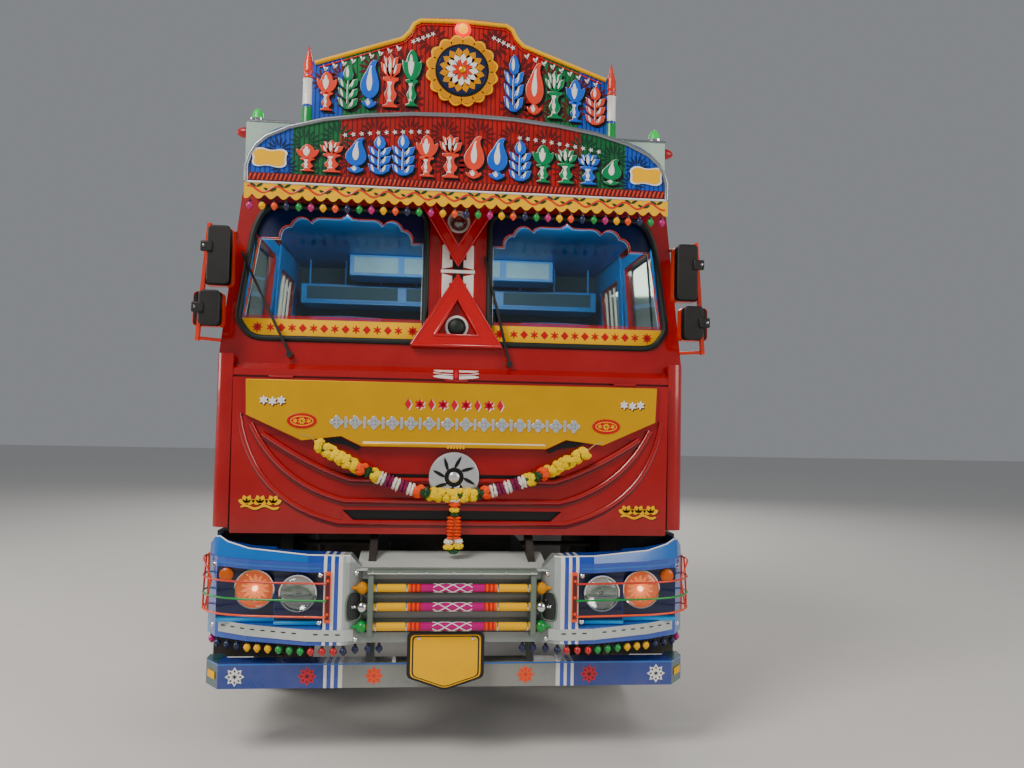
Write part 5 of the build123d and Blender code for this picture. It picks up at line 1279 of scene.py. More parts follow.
class TRUCK_OT_lamps(bpy.types.Operator):
    """Fits the headlamps' bowls, bulbs, lenses and rims, and the indicators"""
    bl_idname = "truck.lamps"
    bl_label = "Headlamps"

    def execute(self, context):
        bumper_paint.plates(
            "lamp_bay_backs", both_sides([rectangle(625, 868, 675, 937)]), upright(-20), 0.4, 2, navy_enamel)
        bumper_paint.plates(
            "lamp_bay_outer_backs", both_sides([rectangle(872, 1168, 675, 937)]), upright(70), 0.4, 2, navy_enamel)
        for word, x, z, radius, wall, depth in LAMPS:
            places = both_at(x, wall - 2, z)
            frame_lamps.turned(
                f"lamp_rims_{word}",
                [(radius + 3, 0), (radius + 3, depth - 2), (radius, depth + 3), (radius - 6, depth + 1),
                 (radius - 7, depth - 8), (radius - 2, depth - 10), (radius - 2, 3)], places, chrome, axis=FORWARDS,
                steps=48)
            bowl = frame_lamps.turned(
                f"lamp_bowls_{word}",
                [(0, 0), (radius - 3, 0), (radius - 5, depth - 8), (radius * 0.72, depth - 20), (radius * 0.4, 8),
                 (0, 5)], places, warm_bowl if word == "outer" else reflector, axis=FORWARDS, steps=48)
            if word == "outer":
                facets = [petal for side in (-1, 1)
                          for petal in petals(side * x, z, 0.74 * radius, 14, inner=0.2, slim=0.5)]
                frame_lamps.plates("lamp_facets", facets, upright(wall), 9, 16, hot_bowl, 1.5)
            frame_lamps.turned(f"lamp_bulbs_{word}", [(0, 4), (12, 5), (13, 20), (8, 27), (0, 29)], places,
                               warm_lamp if word == "outer" else lamp_glass, axis=FORWARDS)
            front = [(radius - 8) * share for share in (0, 0.4, 0.75, 0.93, 1)]
            rise = (depth + 16, depth + 14, depth + 8, depth + 1, depth - 5)
            profile = [*zip(front, rise), *[(r, h - 4) for r, h in reversed(list(zip(front, rise)))]]
            frame_lamps.turned(f"lamp_lenses_{word}", profile, places, lamp_glass, axis=FORWARDS, steps=48)
            if word == "outer":
                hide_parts("headlamps")
        frame_lamps.turned("indicator_lenses", [(0, 0), (34, 0), (34, 18), (27, 24), (14, 27), (0, 28)],
                           both_at(1120, 70, 898), amber_lens, axis=FORWARDS, steps=24)
        bumper_paint.plates(
            "lamp_sills", both_sides([rectangle(640, 866, 674, 690)]), upright(-22), 2, 30, cyan_enamel, 2)
        bumper_paint.plates(
            "lamp_outer_sills", both_sides([rectangle(874, 1160, 674, 690)]), upright(68), 2, 46, cyan_enamel, 2)
        return {"FINISHED"}


LOW_WIRE, MIDDLE_WIRE, HIGH_WIRE = 728, 806, 888
GUARD_PATH = ((608, -129), (820, -108), (1000, -86), (1110, -50), (1190, 10), (1240, 90), (1252, 160), (1241, 232))


def guard_point(share, z):
    """A point on the guards' bent path, at a share of its length."""
    place = share * (len(GUARD_PATH) - 1)
    i = min(int(place), len(GUARD_PATH) - 2)
    (x0, s0), (x1, s1) = GUARD_PATH[i], GUARD_PATH[i + 1]
    return at(x0 + (place - i) * (x1 - x0), s0 + (place - i) * (s1 - s0), z)


class TRUCK_OT_guards(bpy.types.Operator):
    """Bends the round wire guards over the lamps"""
    bl_idname = "truck.guards"
    bl_label = "Lamp guards"

    def execute(self, context):
        shares = [i / 24 for i in range(25)]
        for word, z, paint in (("upper", HIGH_WIRE, salmon_enamel), ("middle", MIDDLE_WIRE, green_enamel),
                               ("lower", LOW_WIRE, orange_enamel)):
            lamp_guards.tubes(
                f"guard_wires_{word}", mirrored_points([[guard_point(s, z) for s in shares]]), 5, paint, smooth=True)
        corner = [guard_point(0.62 + 0.38 * i / 10, 930 + 46 * sin(pi * min(1, i / 4) / 2)) for i in range(11)]
        slants = [[guard_point(share, z) for share, z in zip(line, (LOW_WIRE, MIDDLE_WIRE, HIGH_WIRE, top))]
                  for line, top in (((0.66, 0.60, 0.55, 0.62), 930), ((0.80, 0.83, 0.87, 0.9), 976))]
        lamp_guards.tubes("guard_corner_wires", mirrored_points([corner, *slants]), 5, salmon_enamel)
        inner = lamp_guards.boxes(
            "guard_inner_plates", [block(side, 588, 616, -126, -113, 700, 944) for side in (-1, 1)], orange_enamel, 3)
        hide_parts("lamp_guards")
        lamp_guards.boxes(
            "guard_inner_pads", [block(side, 592, 612, -129, -126, 716, 928) for side in (-1, 1)], maroon_enamel, 2)
        lamp_guards.turned(
            "guard_plate_bolts", [(0, 0), (8, 0), (8, 3), (0, 4.5)],
            [at(side * 602, -129, z) for side in (-1, 1) for z in (742, 822, 902)], orange_enamel, axis=FORWARDS,
            steps=6)
        lamp_guards.boxes("guard_corner_plates", [block(side, 1235, 1247, 198, 252, 690, 985) for side in (-1, 1)],
                          orange_enamel, 3)
        loops = [[at(1240 + 12 * sin(pi * i / 8), 248 - 40 * cos(pi * i / 8), z) for i in range(9)]
                 for z in (LOW_WIRE, MIDDLE_WIRE, HIGH_WIRE)]
        lamp_guards.tubes("guard_corner_loops", mirrored_points(loops), 5, orange_enamel, smooth=True)
        return {"FINISHED"}


RACK_STATION = -88
RACK_ROWS = (("upper", 861, ochre_enamel), ("middle", 769, chrome), ("lower", 674, green_enamel))
PLATE_MIDDLE = (-29, 500)


class TRUCK_OT_rack(bpy.types.Operator):
    """Dresses the rack and hangs the blank number plate"""
    bl_idname = "truck.rack"
    bl_label = "Rack and plate"

    def execute(self, context):
        collars = [at(side * x, RACK_STATION, z) for side in (-1, 1) for _, z, _ in RACK_ROWS for x in (372, 224)]
        rack_rails.turned(
            "rack_collars", [(20.5, -5), (23, -3), (23, 3), (20.5, 5)], collars, chrome, axis=(1, 0, 0), steps=24)
        bud = [(18, 14), (21, 17), (27, 24), (30, 34), (29, 44), (23, 54), (13, 63), (8, 70), (7, 80), (10, 86),
               (0, 89)]
        for side, word in SIDES:
            for row, z, paint in RACK_ROWS:
                rack_rails.turned(f"rack_buds_{row}_{word}", bud, [at(side * 402, RACK_STATION, z)], paint,
                                  axis=(side, 0, 0), steps=24)
        stations = [rectangle(side * 398 - 11, side * 398 + 11, 632, 926) for side in (-1, 1)]
        rack_plates.plates("rack_post_stripes", stations, upright(-112), 0.3, 2, rack_enamel, 1)
        rack_plates.turned("rack_bolts", [(0, 0), (8, 0), (8, 5), (0, 7)],
                           [at(x, -118, 941) for x in range(-390, 400, 130)], chrome, axis=FORWARDS, steps=6)
        rack_plates.plates("rack_shelf_line", [rectangle(-414, 414, 934, 938)], upright(-118), 0.2, 1.5, white_enamel)
        shape = rounded([(-217, 640), (-217, 420), (-30, 358), (163, 420), (163, 640)], 24)
        for part, share_x, share_z, low, high, paint, bevel in (
                ("back", 1, 1, 0, 5, black_enamel, 1.5), ("edge", 0.91, 0.92, 5, 6.5, yellow_enamel, 0),
                ("line", 0.87, 0.885, 6.5, 7.2, black_enamel, 0),
                ("field", 0.87 * 0.955, 0.885 * 0.96, 7.2, 8.2, yellow_enamel, 0)):
            frame_paint.plates(f"number_plate_{part}", [shrunk(shape, *PLATE_MIDDLE, share_x, share_z)],
                               upright(-62), low, high, paint, bevel)
        frame_metal.turned("number_plate_bolts", [(0, 0), (8, 0), (8, 3), (0, 5)],
                           [at(x, -70, 612) for x in (-160, 105)], chrome, axis=FORWARDS, steps=12)
        radius, lay = 20, 34
        strands = [[at(x, RACK_STATION + radius * cos(start + way * x / lay), z + radius * sin(start + way * x / lay))
                    for x in range(-96, 97, 6)]
                   for _, z, _ in RACK_ROWS for way in (-1, 1) for start in (0, 2 * pi / 3, 4 * pi / 3)]
        rack_rails.tubes("rack_braids", strands, 2.6, white_enamel)
        return {"FINISHED"}


class TRUCK_OT_low_bar(bpy.types.Operator):
    """Paints the motifs and edges of the low bumper bar, with a painted highlight along its top edge"""
    bl_idname = "truck.low_bar"
    bl_label = "Low bumper bar"

    def execute(self, context):
        z = 413
        for name, x, paint, heart in (
                ("white", 1051, white_enamel, navy_enamel), ("crimson", 704, crimson_enamel, maroon_enamel),
                ("orange", 378, orange_enamel, salmon_enamel)):
            bumper_paint.plates(
                f"low_bar_{name}_stars", both_sides([star(x, z, 47, 31, 8)]), on_low_bar, 0.3, 1.5, paint)
            gaps = [moved(lozenge(0, 0, 0.13, 0.2), x + 27 * cos(pi * i / 4), z + 27 * sin(pi * i / 4), 38,
                          turn=pi * i / 4 - pi / 2) for i in range(8)]
            bumper_paint.plates(
                f"low_bar_{name}_hearts", both_sides([*gaps, *petals(x, z, 13, 6)]), on_low_bar, 1.5, 2.2, heart)
        # Painted highlight along the low bar's top edge
        edges = both_sides(pieces_between(0, 1210, 468, 475, LOW_BAR_PATH))
        bumper_paint.plates("low_bar_top_highlight", edges, on_low_bar, 0.3, 2, pale_blue_highlight)
        frame_lamps.plates(
            "low_bar_reflectors", both_sides([rectangle(1150, 1196, 396, 432)]), on_low_bar, 0.5, 5, yellow_enamel, 1)
        return {"FINISHED"}


DOOR_WINDOW = ((462, 2095), (518, 2700), (1160, 2700), (1160, 2095))
SLEEPER_WINDOW = ((1400, 2150), (1400, 2640), (1930, 2640), (1930, 2150))


class TRUCK_OT_sides(bpy.types.Operator):
    """Fits the cab's sides and doors: seals, handles, grab rails, drip rails and arch lips"""
    bl_idname = "truck.sides"
    bl_label = "Cab sides and doors"

    def execute(self, context):
        for side, word in SIDES:
            skin, door = on_side(side), f"door_{word}"
            door_skin, door_trim = Group(door, "cab_red"), Group(door, "trim_black")
            for name, group, window in (("door", door_trim, DOOR_WINDOW), ("sleeper", cab_trim, SLEEPER_WINDOW)):
                group.tubes(f"{name}_seal_{word}", [[skin(s, z, -1) for s, z in rounded(window, 60)]], 10,
                            seal_rubber, closed=True)
            vent = [[skin(s, z, -12) for s, z in ((700, 2097), (716, 2698))]]
            door_trim.tubes(f"quarter_light_bar_{word}", vent, 7, seal_rubber)
            bars = [[skin(s, z, -44) for z in (2140, 2650)] for s in (1530, 1665, 1800)]
            cab_skin.tubes(f"sleeper_bars_{word}", bars, 8, white_enamel)
            door_trim.plates(f"door_handle_dish_{word}", [rounded(rectangle(1092, 1236, 1672, 1764), 18)], skin,
                             0.3, 2, grained_plastic, 1)
            door_trim.plates(f"door_handle_{word}", [rounded(rectangle(1112, 1226, 1696, 1740), 10)], skin, 10, 20,
                             grained_plastic, 3)
            Group(door, "bare_steel").turned(f"door_lock_{word}", [(0, 0), (13, 0), (13, 4), (9, 6), (0, 6)],
                                             [skin(1168, 1640, 0)], chrome, axis=(side, 0, 0))
            pads = [rounded(rectangle(360, 408, z + 8, z + 82), 8) for z in (1330, 1880)]
            door_skin.plates(f"door_hinge_plates_{word}", pads, skin, 0.4, 3.5, cab_enamel, 1)
            rail = [skin(1312, z, lift)
                    for z, lift in ((1480, 0), (1490, 48), (1530, 58), (2000, 58), (2060, 48), (2072, 0))]
            cab_trim.tubes(f"grab_rail_{word}", [rail], 13, grained_plastic, smooth=True)
            gutter = [at(side * 1167, s, 2874) for s in (350, 2140)]
            cab_skin.tubes(f"drip_rail_{word}", [gutter], 8, cab_enamel)
            arc = [(FRONT_AXLE + 694 * sin(radians(a)), AXLE_Z + 694 * cos(radians(a))) for a in range(-29, 30, 2)]
            cab_trim.tubes(f"arch_lip_{word}", [[skin(s, z, 0) for s, z in arc if s > 1262]], 9, grained_plastic)
            door_trim.tubes(f"door_arch_lip_{word}", [[skin(s, z, 0) for s, z in arc if s < 1234]], 9,
                            grained_plastic)
            for name, group, s0, s1, heights in (
                    ("side", cab_skin, 1340, 2110, (1250, 1330, 1410)), ("door", door_skin, 420, 1210, (1250, 1330))):
                group.plates(f"{name}_pressings_{word}", [rounded(rectangle(s0, s1, z, z + 26), 12) for z in heights],
                             skin, 0.2, 5, cab_enamel, 3)
            for name, group, s0, s1 in (
                    ("side", boards, 1268, 2140), ("door", Group(door, "board_paint"), 368, 1236)):
                stripes = [rectangle(s0, s1, 1856, 1872), rectangle(s0, s1, 1884, 1892)]
                group.plates(f"{name}_stripes_{word}", stripes, skin, 0.2, 1.2, yellow_enamel)
            cab_lamps.turned(f"side_repeater_{word}", [(0, 0), (24, 0), (22, 10), (12, 15), (0, 16)],
                             [skin(1320, 1330, 4)], amber_lens, axis=(side, 0, 0))
            ribs = [block(side, x, x + 14, 340, 696, top, top + 4)
                    for top, first in ((500, 990), (785, 1040)) for x in range(first, 1216, 32)]
            frame_sheet.boxes(f"step_treads_{word}", ribs, tank_sheet, 1)
            frame_sheet.boxes(
                f"step_noses_{word}", [block(side, 1214, 1229, 338, 698, top - 14, top + 4) for top in (500, 785)],
                tank_sheet, 2)
        cab_skin.boxes("roof_hatch", [(-300, 300, 1250, 1800, 2958, 2978)], cab_enamel, 8)
        return {"FINISHED"}


class TRUCK_OT_mirrors(bpy.types.Operator):
    """Covers the mirrors' housings and gives them glass and clamps"""
    bl_idname = "truck.mirrors"
    bl_label = "Mirrors"

    def execute(self, context):
        for side, word in SIDES:
            shells, rims, panes = [], [], []
            for x, z, width, height, outer in ((1228, 2500, 136, 300, 1273), (1275, 2230, 149, 180, 1306)):
                shell = rounded(rectangle(x - width / 2, outer, z - height / 2, z + height / 2), 26)
                rim = rounded(rectangle(x - width / 2, x + width / 2, z - height / 2, z + height / 2), 26)
                for made, outline in ((shells, shell), (rims, rim), (panes, shrunk(rim, x, z, 0.88, 0.92))):
                    made.append([(side * px, pz) for px, pz in outline])
            cab_trim.plates(f"mirror_covers_{word}", shells, upright(74), 0, 14, grained_plastic, 9)
            cab_trim.plates(f"mirror_rims_{word}", rims, rearwards(132), 0, 6, grained_plastic, 3)
            cab_glass.plates(f"mirror_panes_{word}", panes, rearwards(138), 0, 1.5, mirror_glass)
            clamps = [block(side, x0, x1, 50, 76, z - 26, z + 26)
                      for x0, x1, z in ((1246, 1304, 2540), (1280, 1338, 2230))]
            cab_trim.boxes(f"mirror_clamps_{word}", clamps, grained_plastic, 6)
            screws = [at(side * x, 50, z) for x, z in ((1286, 2540), (1320, 2230))]
            cab_metal.turned(
                f"mirror_screws_{word}", [(0, 0), (7, 0), (7, 4), (0, 6)], screws, chrome, axis=FORWARDS, steps=6)
        return {"FINISHED"}


def cushion(name, limits, channels, material, lean=0):
    """A stitched cushion: a rounded block that swells between channels side by side."""
    x0, x1, s0, s1, z0, z1 = limits
    work = bmesh.new()
    bmesh.ops.create_cube(work, size=2)
    bmesh.ops.subdivide_edges(work, edges=work.edges, cuts=17, use_grid_fill=True)
    middle = Vector(((x0 + x1) / 2, (s0 + s1) / 2, (z0 + z1) / 2))
    half = Vector(((x1 - x0) / 2, (s1 - s0) / 2, (z1 - z0) / 2))
    thin = min(range(3), key=lambda i: half[i])
    edge = 0.75 * half[thin]
    for vertex in work.verts:
        unit = vertex.co.copy()
        core = Vector([u * (h - edge) for u, h in zip(unit, half)])
        over = Vector([u * h - c for u, h, c in zip(unit, half, core)])
        point = core + (over.normalized() * edge if over.length > edge else over)
        wide = [i for i in range(3) if i != thin]
        swell = (1 - unit[wide[0]] ** 4) * (1 - unit[wide[1]] ** 4)
        seam = abs(cos(pi * channels * (unit.x + 1) / 2)) ** 10
        point[thin] *= 1 + swell * (0.10 - 0.2 * seam)
        point.y += lean * (point.z + half.z) / (2 * half.z)
        vertex.co = at(*(middle + point))
    mesh = bpy.data.meshes.new(name)
    work.to_mesh(mesh)
    work.free()
    mesh.shade_smooth()
    obj = Group("cab", "seat_fabric").place(bpy.data.objects.new(name, mesh), material)
    return obj


class TRUCK_OT_interior(bpy.types.Operator):
    """Furnishes the cab: linings, shelf, dashboard fittings, seats and bunk"""
    bl_idname = "truck.interior"
    bl_label = "Cab interior"

    def execute(self, context):
        rear = [(-1176, 1760), (1176, 1760), (1180, 2020), (1108, 2850), (-1108, 2850), (-1180, 2020)]
        cab_skin.plates("rear_lining", [rear], upright(2099), 0.5, 4, interior_green)
        cab_skin.boxes(
            "high_shelf", [(-1060, 1060, 1780, 2092, 2500, 2516), (-1060, 1060, 1780, 1796, 2516, 2640),
                           *[(x - 8, x + 8, 1796, 2092, 2516, 2640) for x in (-1052, -350, 350, 1052)]],
            interior_blue, 3)
        cab_skin.plates("shelf_panels", [rectangle(x - 320, x + 320, 2532, 2624) for x in (-700, 0, 700)],
                        upright(1780), 0, 4, interior_green, 2)
        cab_skin.boxes("roof_lining", [(-1096, 1096, 336, 2098, 2808, 2813)], interior_blue)
        cab_skin.boxes("header_locker", [(-700, 700, 1500, 1780, 2660, 2806)], interior_blue, 6)
        cab_skin.plates("header_panels", [rectangle(x - 150, x + 150, 2680, 2790) for x in (-520, -180, 180, 520)],
                        upright(1500), 0, 4, pale_laminate, 2)
        rails = [[at(x, 1786, 2640), at(x, 1786, 2830)] for x in range(-1000, 1001, 250)]
        cab_skin.tubes("shelf_rails", rails, 7, interior_blue)
        for side, word in SIDES:
            inner = on_side(side)
            lower = [(388, 1250), (1225, 1250), (1225, 2060), (400, 2060)]
            door_skin = Group(f"door_{word}", "cab_red")
            door_skin.plates(f"door_lining_{word}", [rounded(lower, 40)], inner, -55, -50.5, interior_blue)
            Group(f"door_{word}", "trim_black").boxes(
                f"door_pull_{word}", [block(side, 1150, 1180, 700, 940, 1830, 1862)], grained_plastic, 6)
            round_window = [[(392, 2060), (452, 2060), (508, 2712), (446, 2712)], rectangle(1172, 1234, 2060, 2712),
                            rectangle(446, 1234, 2712, 2780)]
            door_skin.plates(f"door_frame_{word}", round_window, inner, -55, -50.5, interior_blue)
            frames = [rectangle(1290, 2085, 1700, 2120), rectangle(1290, 2085, 2670, 2840),
                      rectangle(1290, 1380, 2120, 2670), rectangle(1950, 2085, 2120, 2670)]
            cab_skin.plates(
                f"door_post_{word}", [rectangle(1236, 1290, 1700, 2800)], inner, -62, -50.5, interior_blue, 1)
            cab_skin.plates(f"sleeper_lining_{word}", frames, inner, -56, -50.5, interior_blue)
        cab_trim.plates("dash_vents", [rectangle(x - 70, x + 70, 1880, 1940) for x in (-1020, -250, 250, 1020)],
                        dash_face, 0.5, 4, interior_dark, 2)
        cab_trim.boxes("instrument_hood", [(-830, -450, 560, 690, 1990, 2045), (-815, -465, 640, 700, 1840, 1990)],
                       grained_plastic, 12)
        cab_trim.turned("instrument_dials", [(0, 0), (52, 0), (52, 6), (46, 8), (46, 3), (0, 3)],
                        [at(x, 700, 1920) for x in (-705, -580)], white_enamel, axis=(0, 1, 0), steps=32)
        cab_trim.turned("gear_knob", [(8, 0), (8, 360), (26, 380), (30, 405), (20, 428), (0, 432)],
                        [at(-240, 900, 1430)], grained_plastic)
        for side, word in SIDES:
            cushion(f"seat_base_{word}", block(side, 472, 968, 962, 1416, 1642, 1782), 5, seat_cloth)
            cushion(f"seat_back_{word}", block(side, 472, 968, 1432, 1508, 1700, 2382), 5, seat_cloth, lean=55)
        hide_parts("seat_cushions")
        cushion("bunk_mattress", (-1136, 1136, 1590, 2090, 1642, 1756), 7, bunk_cloth)
        return {"FINISHED"}


def dash_face(x, z, lift):
    """The dashboard's rear face."""
    return at(x, 640 + (z - 1800) * 0.125 + lift, z)


NUT_CIRCLE, HUB_BOLT_CIRCLE = 128, 68
FRONT_TYRE_X, REAR_TYRES_X, TWIN_OFFSET = 1015, 915, 168
TREAD_BLOCKS = 58
TREAD_ROWS = ((-98, -56, 0.0), (-48, -4, 0.5), (4, 48, 0.0), (56, 98, 0.5))
TYRE_HALF = ((508, 100), (490, 133), (478, 139), (450, 145), (376, 147), (372, 143), (350, 147), (296, 124),
             (286, 126), (268, 112), (254.3, 112))
TYRE_BODY = (*[(radius, -across) for radius, across in reversed(TYRE_HALF)], *TYRE_HALF)


def tyre(name, places, body, depth, side):
    """A tyre, or a pair: its body is turned, and its blocks stand round the tread."""
    whole = Group(body, "tyre").turned(f"{name}_body", TYRE_BODY, places, tyre_rubber, axis=(side, 0, 0), steps=72,
                                       angle=30, hollow=True)
    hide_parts(name)
    verts, faces = [], []
    for centre in places:
        for low, high, offset in TREAD_ROWS:
            for i in range(TREAD_BLOCKS):
                faces += [[len(verts) + k for k in face] for face in BLOCK_FACES]
                for across in (low, high):
                    for radius in (TYRE_R - depth * 1000 - 2, TYRE_R):
                        for edge in (0.0, 0.8):
                            turn = 2 * pi * (i + offset + edge) / TREAD_BLOCKS
                            reach = radius - (5 if abs(across) > 90 and radius == TYRE_R else 0)
                            verts.append(centre + Vector((across, reach * sin(turn), reach * cos(turn))) / 1000)
    Group(body, "tyre").solid(f"{name}_tread", verts, faces, tyre_rubber, angle=25)


def round_axle(x, station, radius, count):
    """Places round a wheel's axle, the first one straight above it."""
    return [at(x, station + radius * sin(2 * pi * i / count), AXLE_Z + radius * cos(2 * pi * i / count))
            for i in range(count)]


class TRUCK_OT_wheels(bpy.types.Operator):
    """Fits the tyres' treads, the wheel nuts, hub caps and valves"""
    bl_idname = "truck.wheels"
    bl_label = "Wheels"

    def execute(self, context):
        depth = context.scene.truck_sizes.tread_depth
        for side, word in SIDES:
            front, rear = f"wheel_front_{word}", f"wheel_rear_{word}"
            outwards = (side, 0, 0)
            tyre(f"front_tyre_{word}", [at(side * FRONT_TYRE_X, FRONT_AXLE, AXLE_Z)], front, depth, side)
            tyre(f"rear_tyres_{word}",
                 [at(side * (REAR_TYRES_X + offset), REAR_AXLE, AXLE_Z) for offset in (-TWIN_OFFSET, TWIN_OFFSET)],
                 rear, depth, side)
            nut = [(0, -4), (17, -4), (17, 15), (12, 20), (12, 30), (0, 32)]
            for name, body, reach, station in (("front", front, 1113, FRONT_AXLE), ("rear", rear, 928, REAR_AXLE)):
                ring = round_axle(side * reach, station, NUT_CIRCLE, 10)
                metal = Group(body, "bare_steel")
                metal.turned(f"{name}_nuts_{word}", nut, ring, worn_steel, axis=outwards, steps=6)
                valve = at(side * (reach - 40), station + 224, AXLE_Z)
                metal.turned(
                    f"{name}_valve_{word}", [(0, 0), (5, 0), (5, 46), (0, 48)], [valve], chrome, axis=outwards,
                    steps=10)
            cap = [(82, -2), (84, 4), (70, 6), (66, 3), (48, 3), (44, 9), (0, 12)]
            Group(front, "rim_grey").turned(f"front_hub_cap_{word}", cap, [at(side * 1150, FRONT_AXLE, AXLE_Z)],
                                            chassis_enamel, axis=outwards, steps=32)
            bolts = round_axle(side * 1066, REAR_AXLE, HUB_BOLT_CIRCLE, 8)
            Group(rear, "bare_steel").turned(f"rear_hub_bolts_{word}", [(0, -3), (9, -3), (9, 5), (0, 7)], bolts,
                                             worn_steel, axis=outwards, steps=6)
            lip = [(262, 112), (268, 114), (270, 119), (267, 123), (260, 122), (257, 116)]
            for name, body, reach, station in (("front", front, FRONT_TYRE_X, FRONT_AXLE),
                                               ("rear", rear, REAR_TYRES_X + TWIN_OFFSET, REAR_AXLE)):
                Group(body, "rim_grey").turned(f"{name}_rim_lip_{word}", lip, [at(side * reach, station, AXLE_Z)],
                                               wheel_paint, axis=outwards, steps=64, hollow=True)
        return {"FINISHED"}


class TRUCK_OT_chassis(bpy.types.Operator):
    """Fits the frame's rivets, clamps, tail lamps, tank and box details"""
    bl_idname = "truck.chassis"
    bl_label = "Chassis fittings"

    def execute(self, context):
        for side, word in SIDES:
            heads = [at(side * 430, s, z) for s in range(2240, 5480, 90) for z in (736, 934)]
            frame_black.turned(f"frame_rivets_{word}", [(0, 0), (10, 0), (8, 5), (0, 7)], heads, chassis_enamel,
                               axis=(side, 0, 0), steps=8)
            bolts = [[at(side * x, centre + s, z) for x, z in ((378, low), (378, high), (472, high), (472, low))]
                     for centre, low, high in ((FRONT_AXLE, 340, 548), (REAR_AXLE, 448, 700)) for s in (-44, 44)]
            frame_metal.tubes(f"spring_u_bolts_{word}", bolts, 8, worn_steel)
            frame_trim.boxes(
                f"tail_lamp_box_{word}", [block(side, 780, 1150, 5530, 5552, 565, 675)], grained_plastic, 4)
            for name, reach, width, lens in (("stop", 842, 108, red_lens), ("turn", 950, 92, amber_lens),
                                             ("reverse", 1036, 64, lamp_glass), ("tail", 1108, 68, red_lens)):
                frame_lamps.plates(
                    f"tail_lens_{name}_{word}",
                    [rectangle(side * reach - width / 2, side * reach + width / 2, 572, 668)], rearwards(5551), 0, 8,
                    lens, 2.5)
            frame_sheet.boxes(f"flap_strips_{word}", [block(side, 600, 1231, 5262, 5266, 655, 683)], tank_sheet, 1)
        bar = frame_black.boxes(
            "tail_bar_beam", [(-1180, 1180, 5470, 5530, 560, 680),
                              *[block(side, 350, 430, 5430, 5490, 600, 710) for side in (-1, 1)]], chassis_enamel, 4)
        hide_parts("tail_bar")
        stripes = [[(x, 566), (x + 60, 566), (x + 110, 674), (x + 50, 674)] for x in range(-760, 700, 120)]
        frame_paint.plates("tail_bar_stripes", stripes, rearwards(5530), 0.3, 1.5, yellow_enamel)
        frame_sheet.turned("fuel_cap", [(0, 0), (64, 0), (66, 6), (66, 22), (58, 30), (0, 32)], [at(850, 2480, 998)],
                           chrome, steps=32)
        frame_metal.boxes(
            "battery_clamps", [(x - 14, x + 14, s, s + 10, 900, 972) for x in (-1060, -650) for s in (2326, 2965)],
            worn_steel, 2)
        handles = [[at(x, s, z) for x, z in ((-915, 966), (-915, 990), (-795, 990), (-795, 966))]
                   for s in (2500, 2800)]
        frame_metal.tubes("battery_lid_handles", handles, 6, worn_steel)
        straps = [[at(-700 + 123 * cos(radians(a)), s, z + 123 * sin(radians(a))) for a in range(0, 361, 15)]
                  for s in (3205, 3645) for z in (580, 850)]
        frame_metal.tubes("air_tank_straps", straps, 5, worn_steel)
        ribs = [(x, x + 10, s, s + 40, 968, 973) for x in range(-410, 410, 60) for s in range(2350, 2880, 70)]
        frame_sheet.boxes("catwalk_grip", ribs, tank_sheet, 0)
        fins = [(570, 1050, s, s + 8, 899, 906) for s in range(3500, 3950, 40)]
        frame_metal.boxes("silencer_ribs", fins, worn_steel, 2)
        frame_metal.turned("tail_pipe", [(48, 0), (57, 0), (57, 60), (48, 60)], [at(1150, 3880, 600)], worn_steel,
                           axis=(1, 0, 0), steps=24, hollow=True)
        return {"FINISHED"}


PIVOT_STATION = 4350


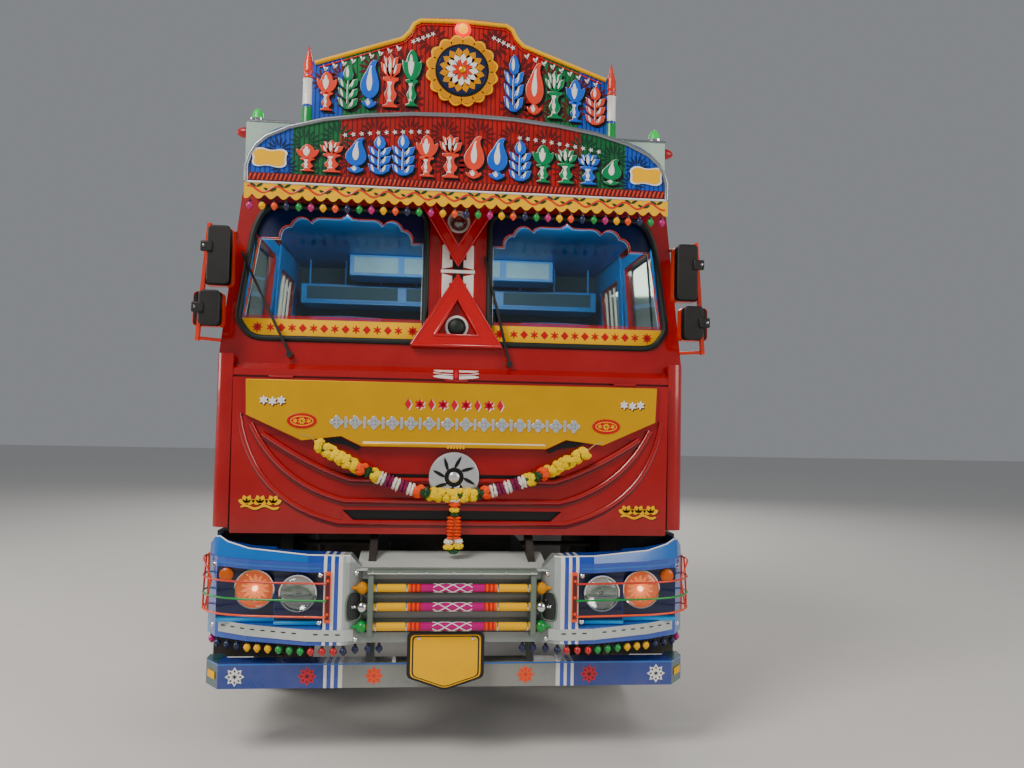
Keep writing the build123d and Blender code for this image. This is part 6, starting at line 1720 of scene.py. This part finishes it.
class TRUCK_OT_coupling(bpy.types.Operator):
    """Fits the fifth wheel's grease grooves, release handle and fixings"""
    bl_idname = "truck.coupling"
    bl_label = "Fifth wheel"

    def execute(self, context):
        def top(x, s, lift):
            return at(x, PIVOT_STATION + s, 1250 + lift)

        arcs = [[(r * cos(radians(a)), r * sin(radians(a))) for a in range(lo, hi, 6)]
                for r, lo, hi in ((390, 186, 356), (300, 190, 352), (210, 214, 328), (390, -2, 60), (390, 122, 184))]
        coupling_grease.pipes("plate_grease", arcs, 9, 0.8, top, 0.2, grease)
        for side, word in SIDES:
            frame_metal.turned(f"pivot_cap_{word}", [(0, 0), (40, 0), (38, 8), (24, 14), (0, 15)],
                               [at(side * 410, PIVOT_STATION, 1120)], worn_steel, axis=(side, 0, 0), steps=24)
            bolts = [at(side * x, s, 976) for x in (395, 240) for s in range(4020, 4760, 140)]
            frame_metal.turned(
                f"base_bolts_{word}", [(0, 0), (14, 0), (14, 11), (9, 18), (0, 18)], bolts, worn_steel, steps=6)
        handle = [top(x, s, -26)
                  for x, s in ((-430, -60), (-500, -60), (-545, -80), (-560, -120), (-545, -150), (-520, -140))]
        coupling_metal.tubes("release_handle", [handle], 9, red_enamel, smooth=True)
        coupling_metal.turned(
            "jaw_ring", [(26, 0), (40, 0), (38, 3), (28, 3)], [top(0, 0, 0)], worn_steel, steps=32, hollow=True)
        return {"FINISHED"}


OPERATORS = (TRUCK_OT_stage, TRUCK_OT_frame_finishes, TRUCK_OT_crown, TRUCK_OT_visor, TRUCK_OT_valance,
             TRUCK_OT_roof_box, TRUCK_OT_windscreen, TRUCK_OT_fascia, TRUCK_OT_garland, TRUCK_OT_bumper,
             TRUCK_OT_lamps, TRUCK_OT_guards, TRUCK_OT_rack, TRUCK_OT_low_bar, TRUCK_OT_sides,
             TRUCK_OT_mirrors, TRUCK_OT_interior, TRUCK_OT_wheels, TRUCK_OT_chassis, TRUCK_OT_coupling)


class TRUCK_PT_panel(bpy.types.Panel):
    """The truck's settings and one button for each group of pieces"""
    bl_idname = "TRUCK_PT_panel"
    bl_label = "Decorated truck"
    bl_space_type = "VIEW_3D"
    bl_region_type = "UI"
    bl_category = "Truck"

    def draw(self, context):
        for settings in (context.scene.truck_sizes, context.scene.truck_colours):
            for name in settings.__annotations__:
                self.layout.prop(settings, name)
        for operator in OPERATORS:
            self.layout.operator(operator.bl_idname)


CLASSES = (TruckSizes, TruckColours, *OPERATORS, TRUCK_PT_panel)


def register():
    for item in CLASSES:
        bpy.utils.register_class(item)
    bpy.types.Scene.truck_sizes = PointerProperty(type=TruckSizes)
    bpy.types.Scene.truck_colours = PointerProperty(type=TruckColours)


def unregister():
    del bpy.types.Scene.truck_sizes
    del bpy.types.Scene.truck_colours
    for item in reversed(CLASSES):
        bpy.utils.unregister_class(item)


def main():
    register()
    for operator in OPERATORS:
        group, name = operator.bl_idname.split(".")
        getattr(getattr(bpy.ops, group), name)()


if __name__ == "__main__":
    main()
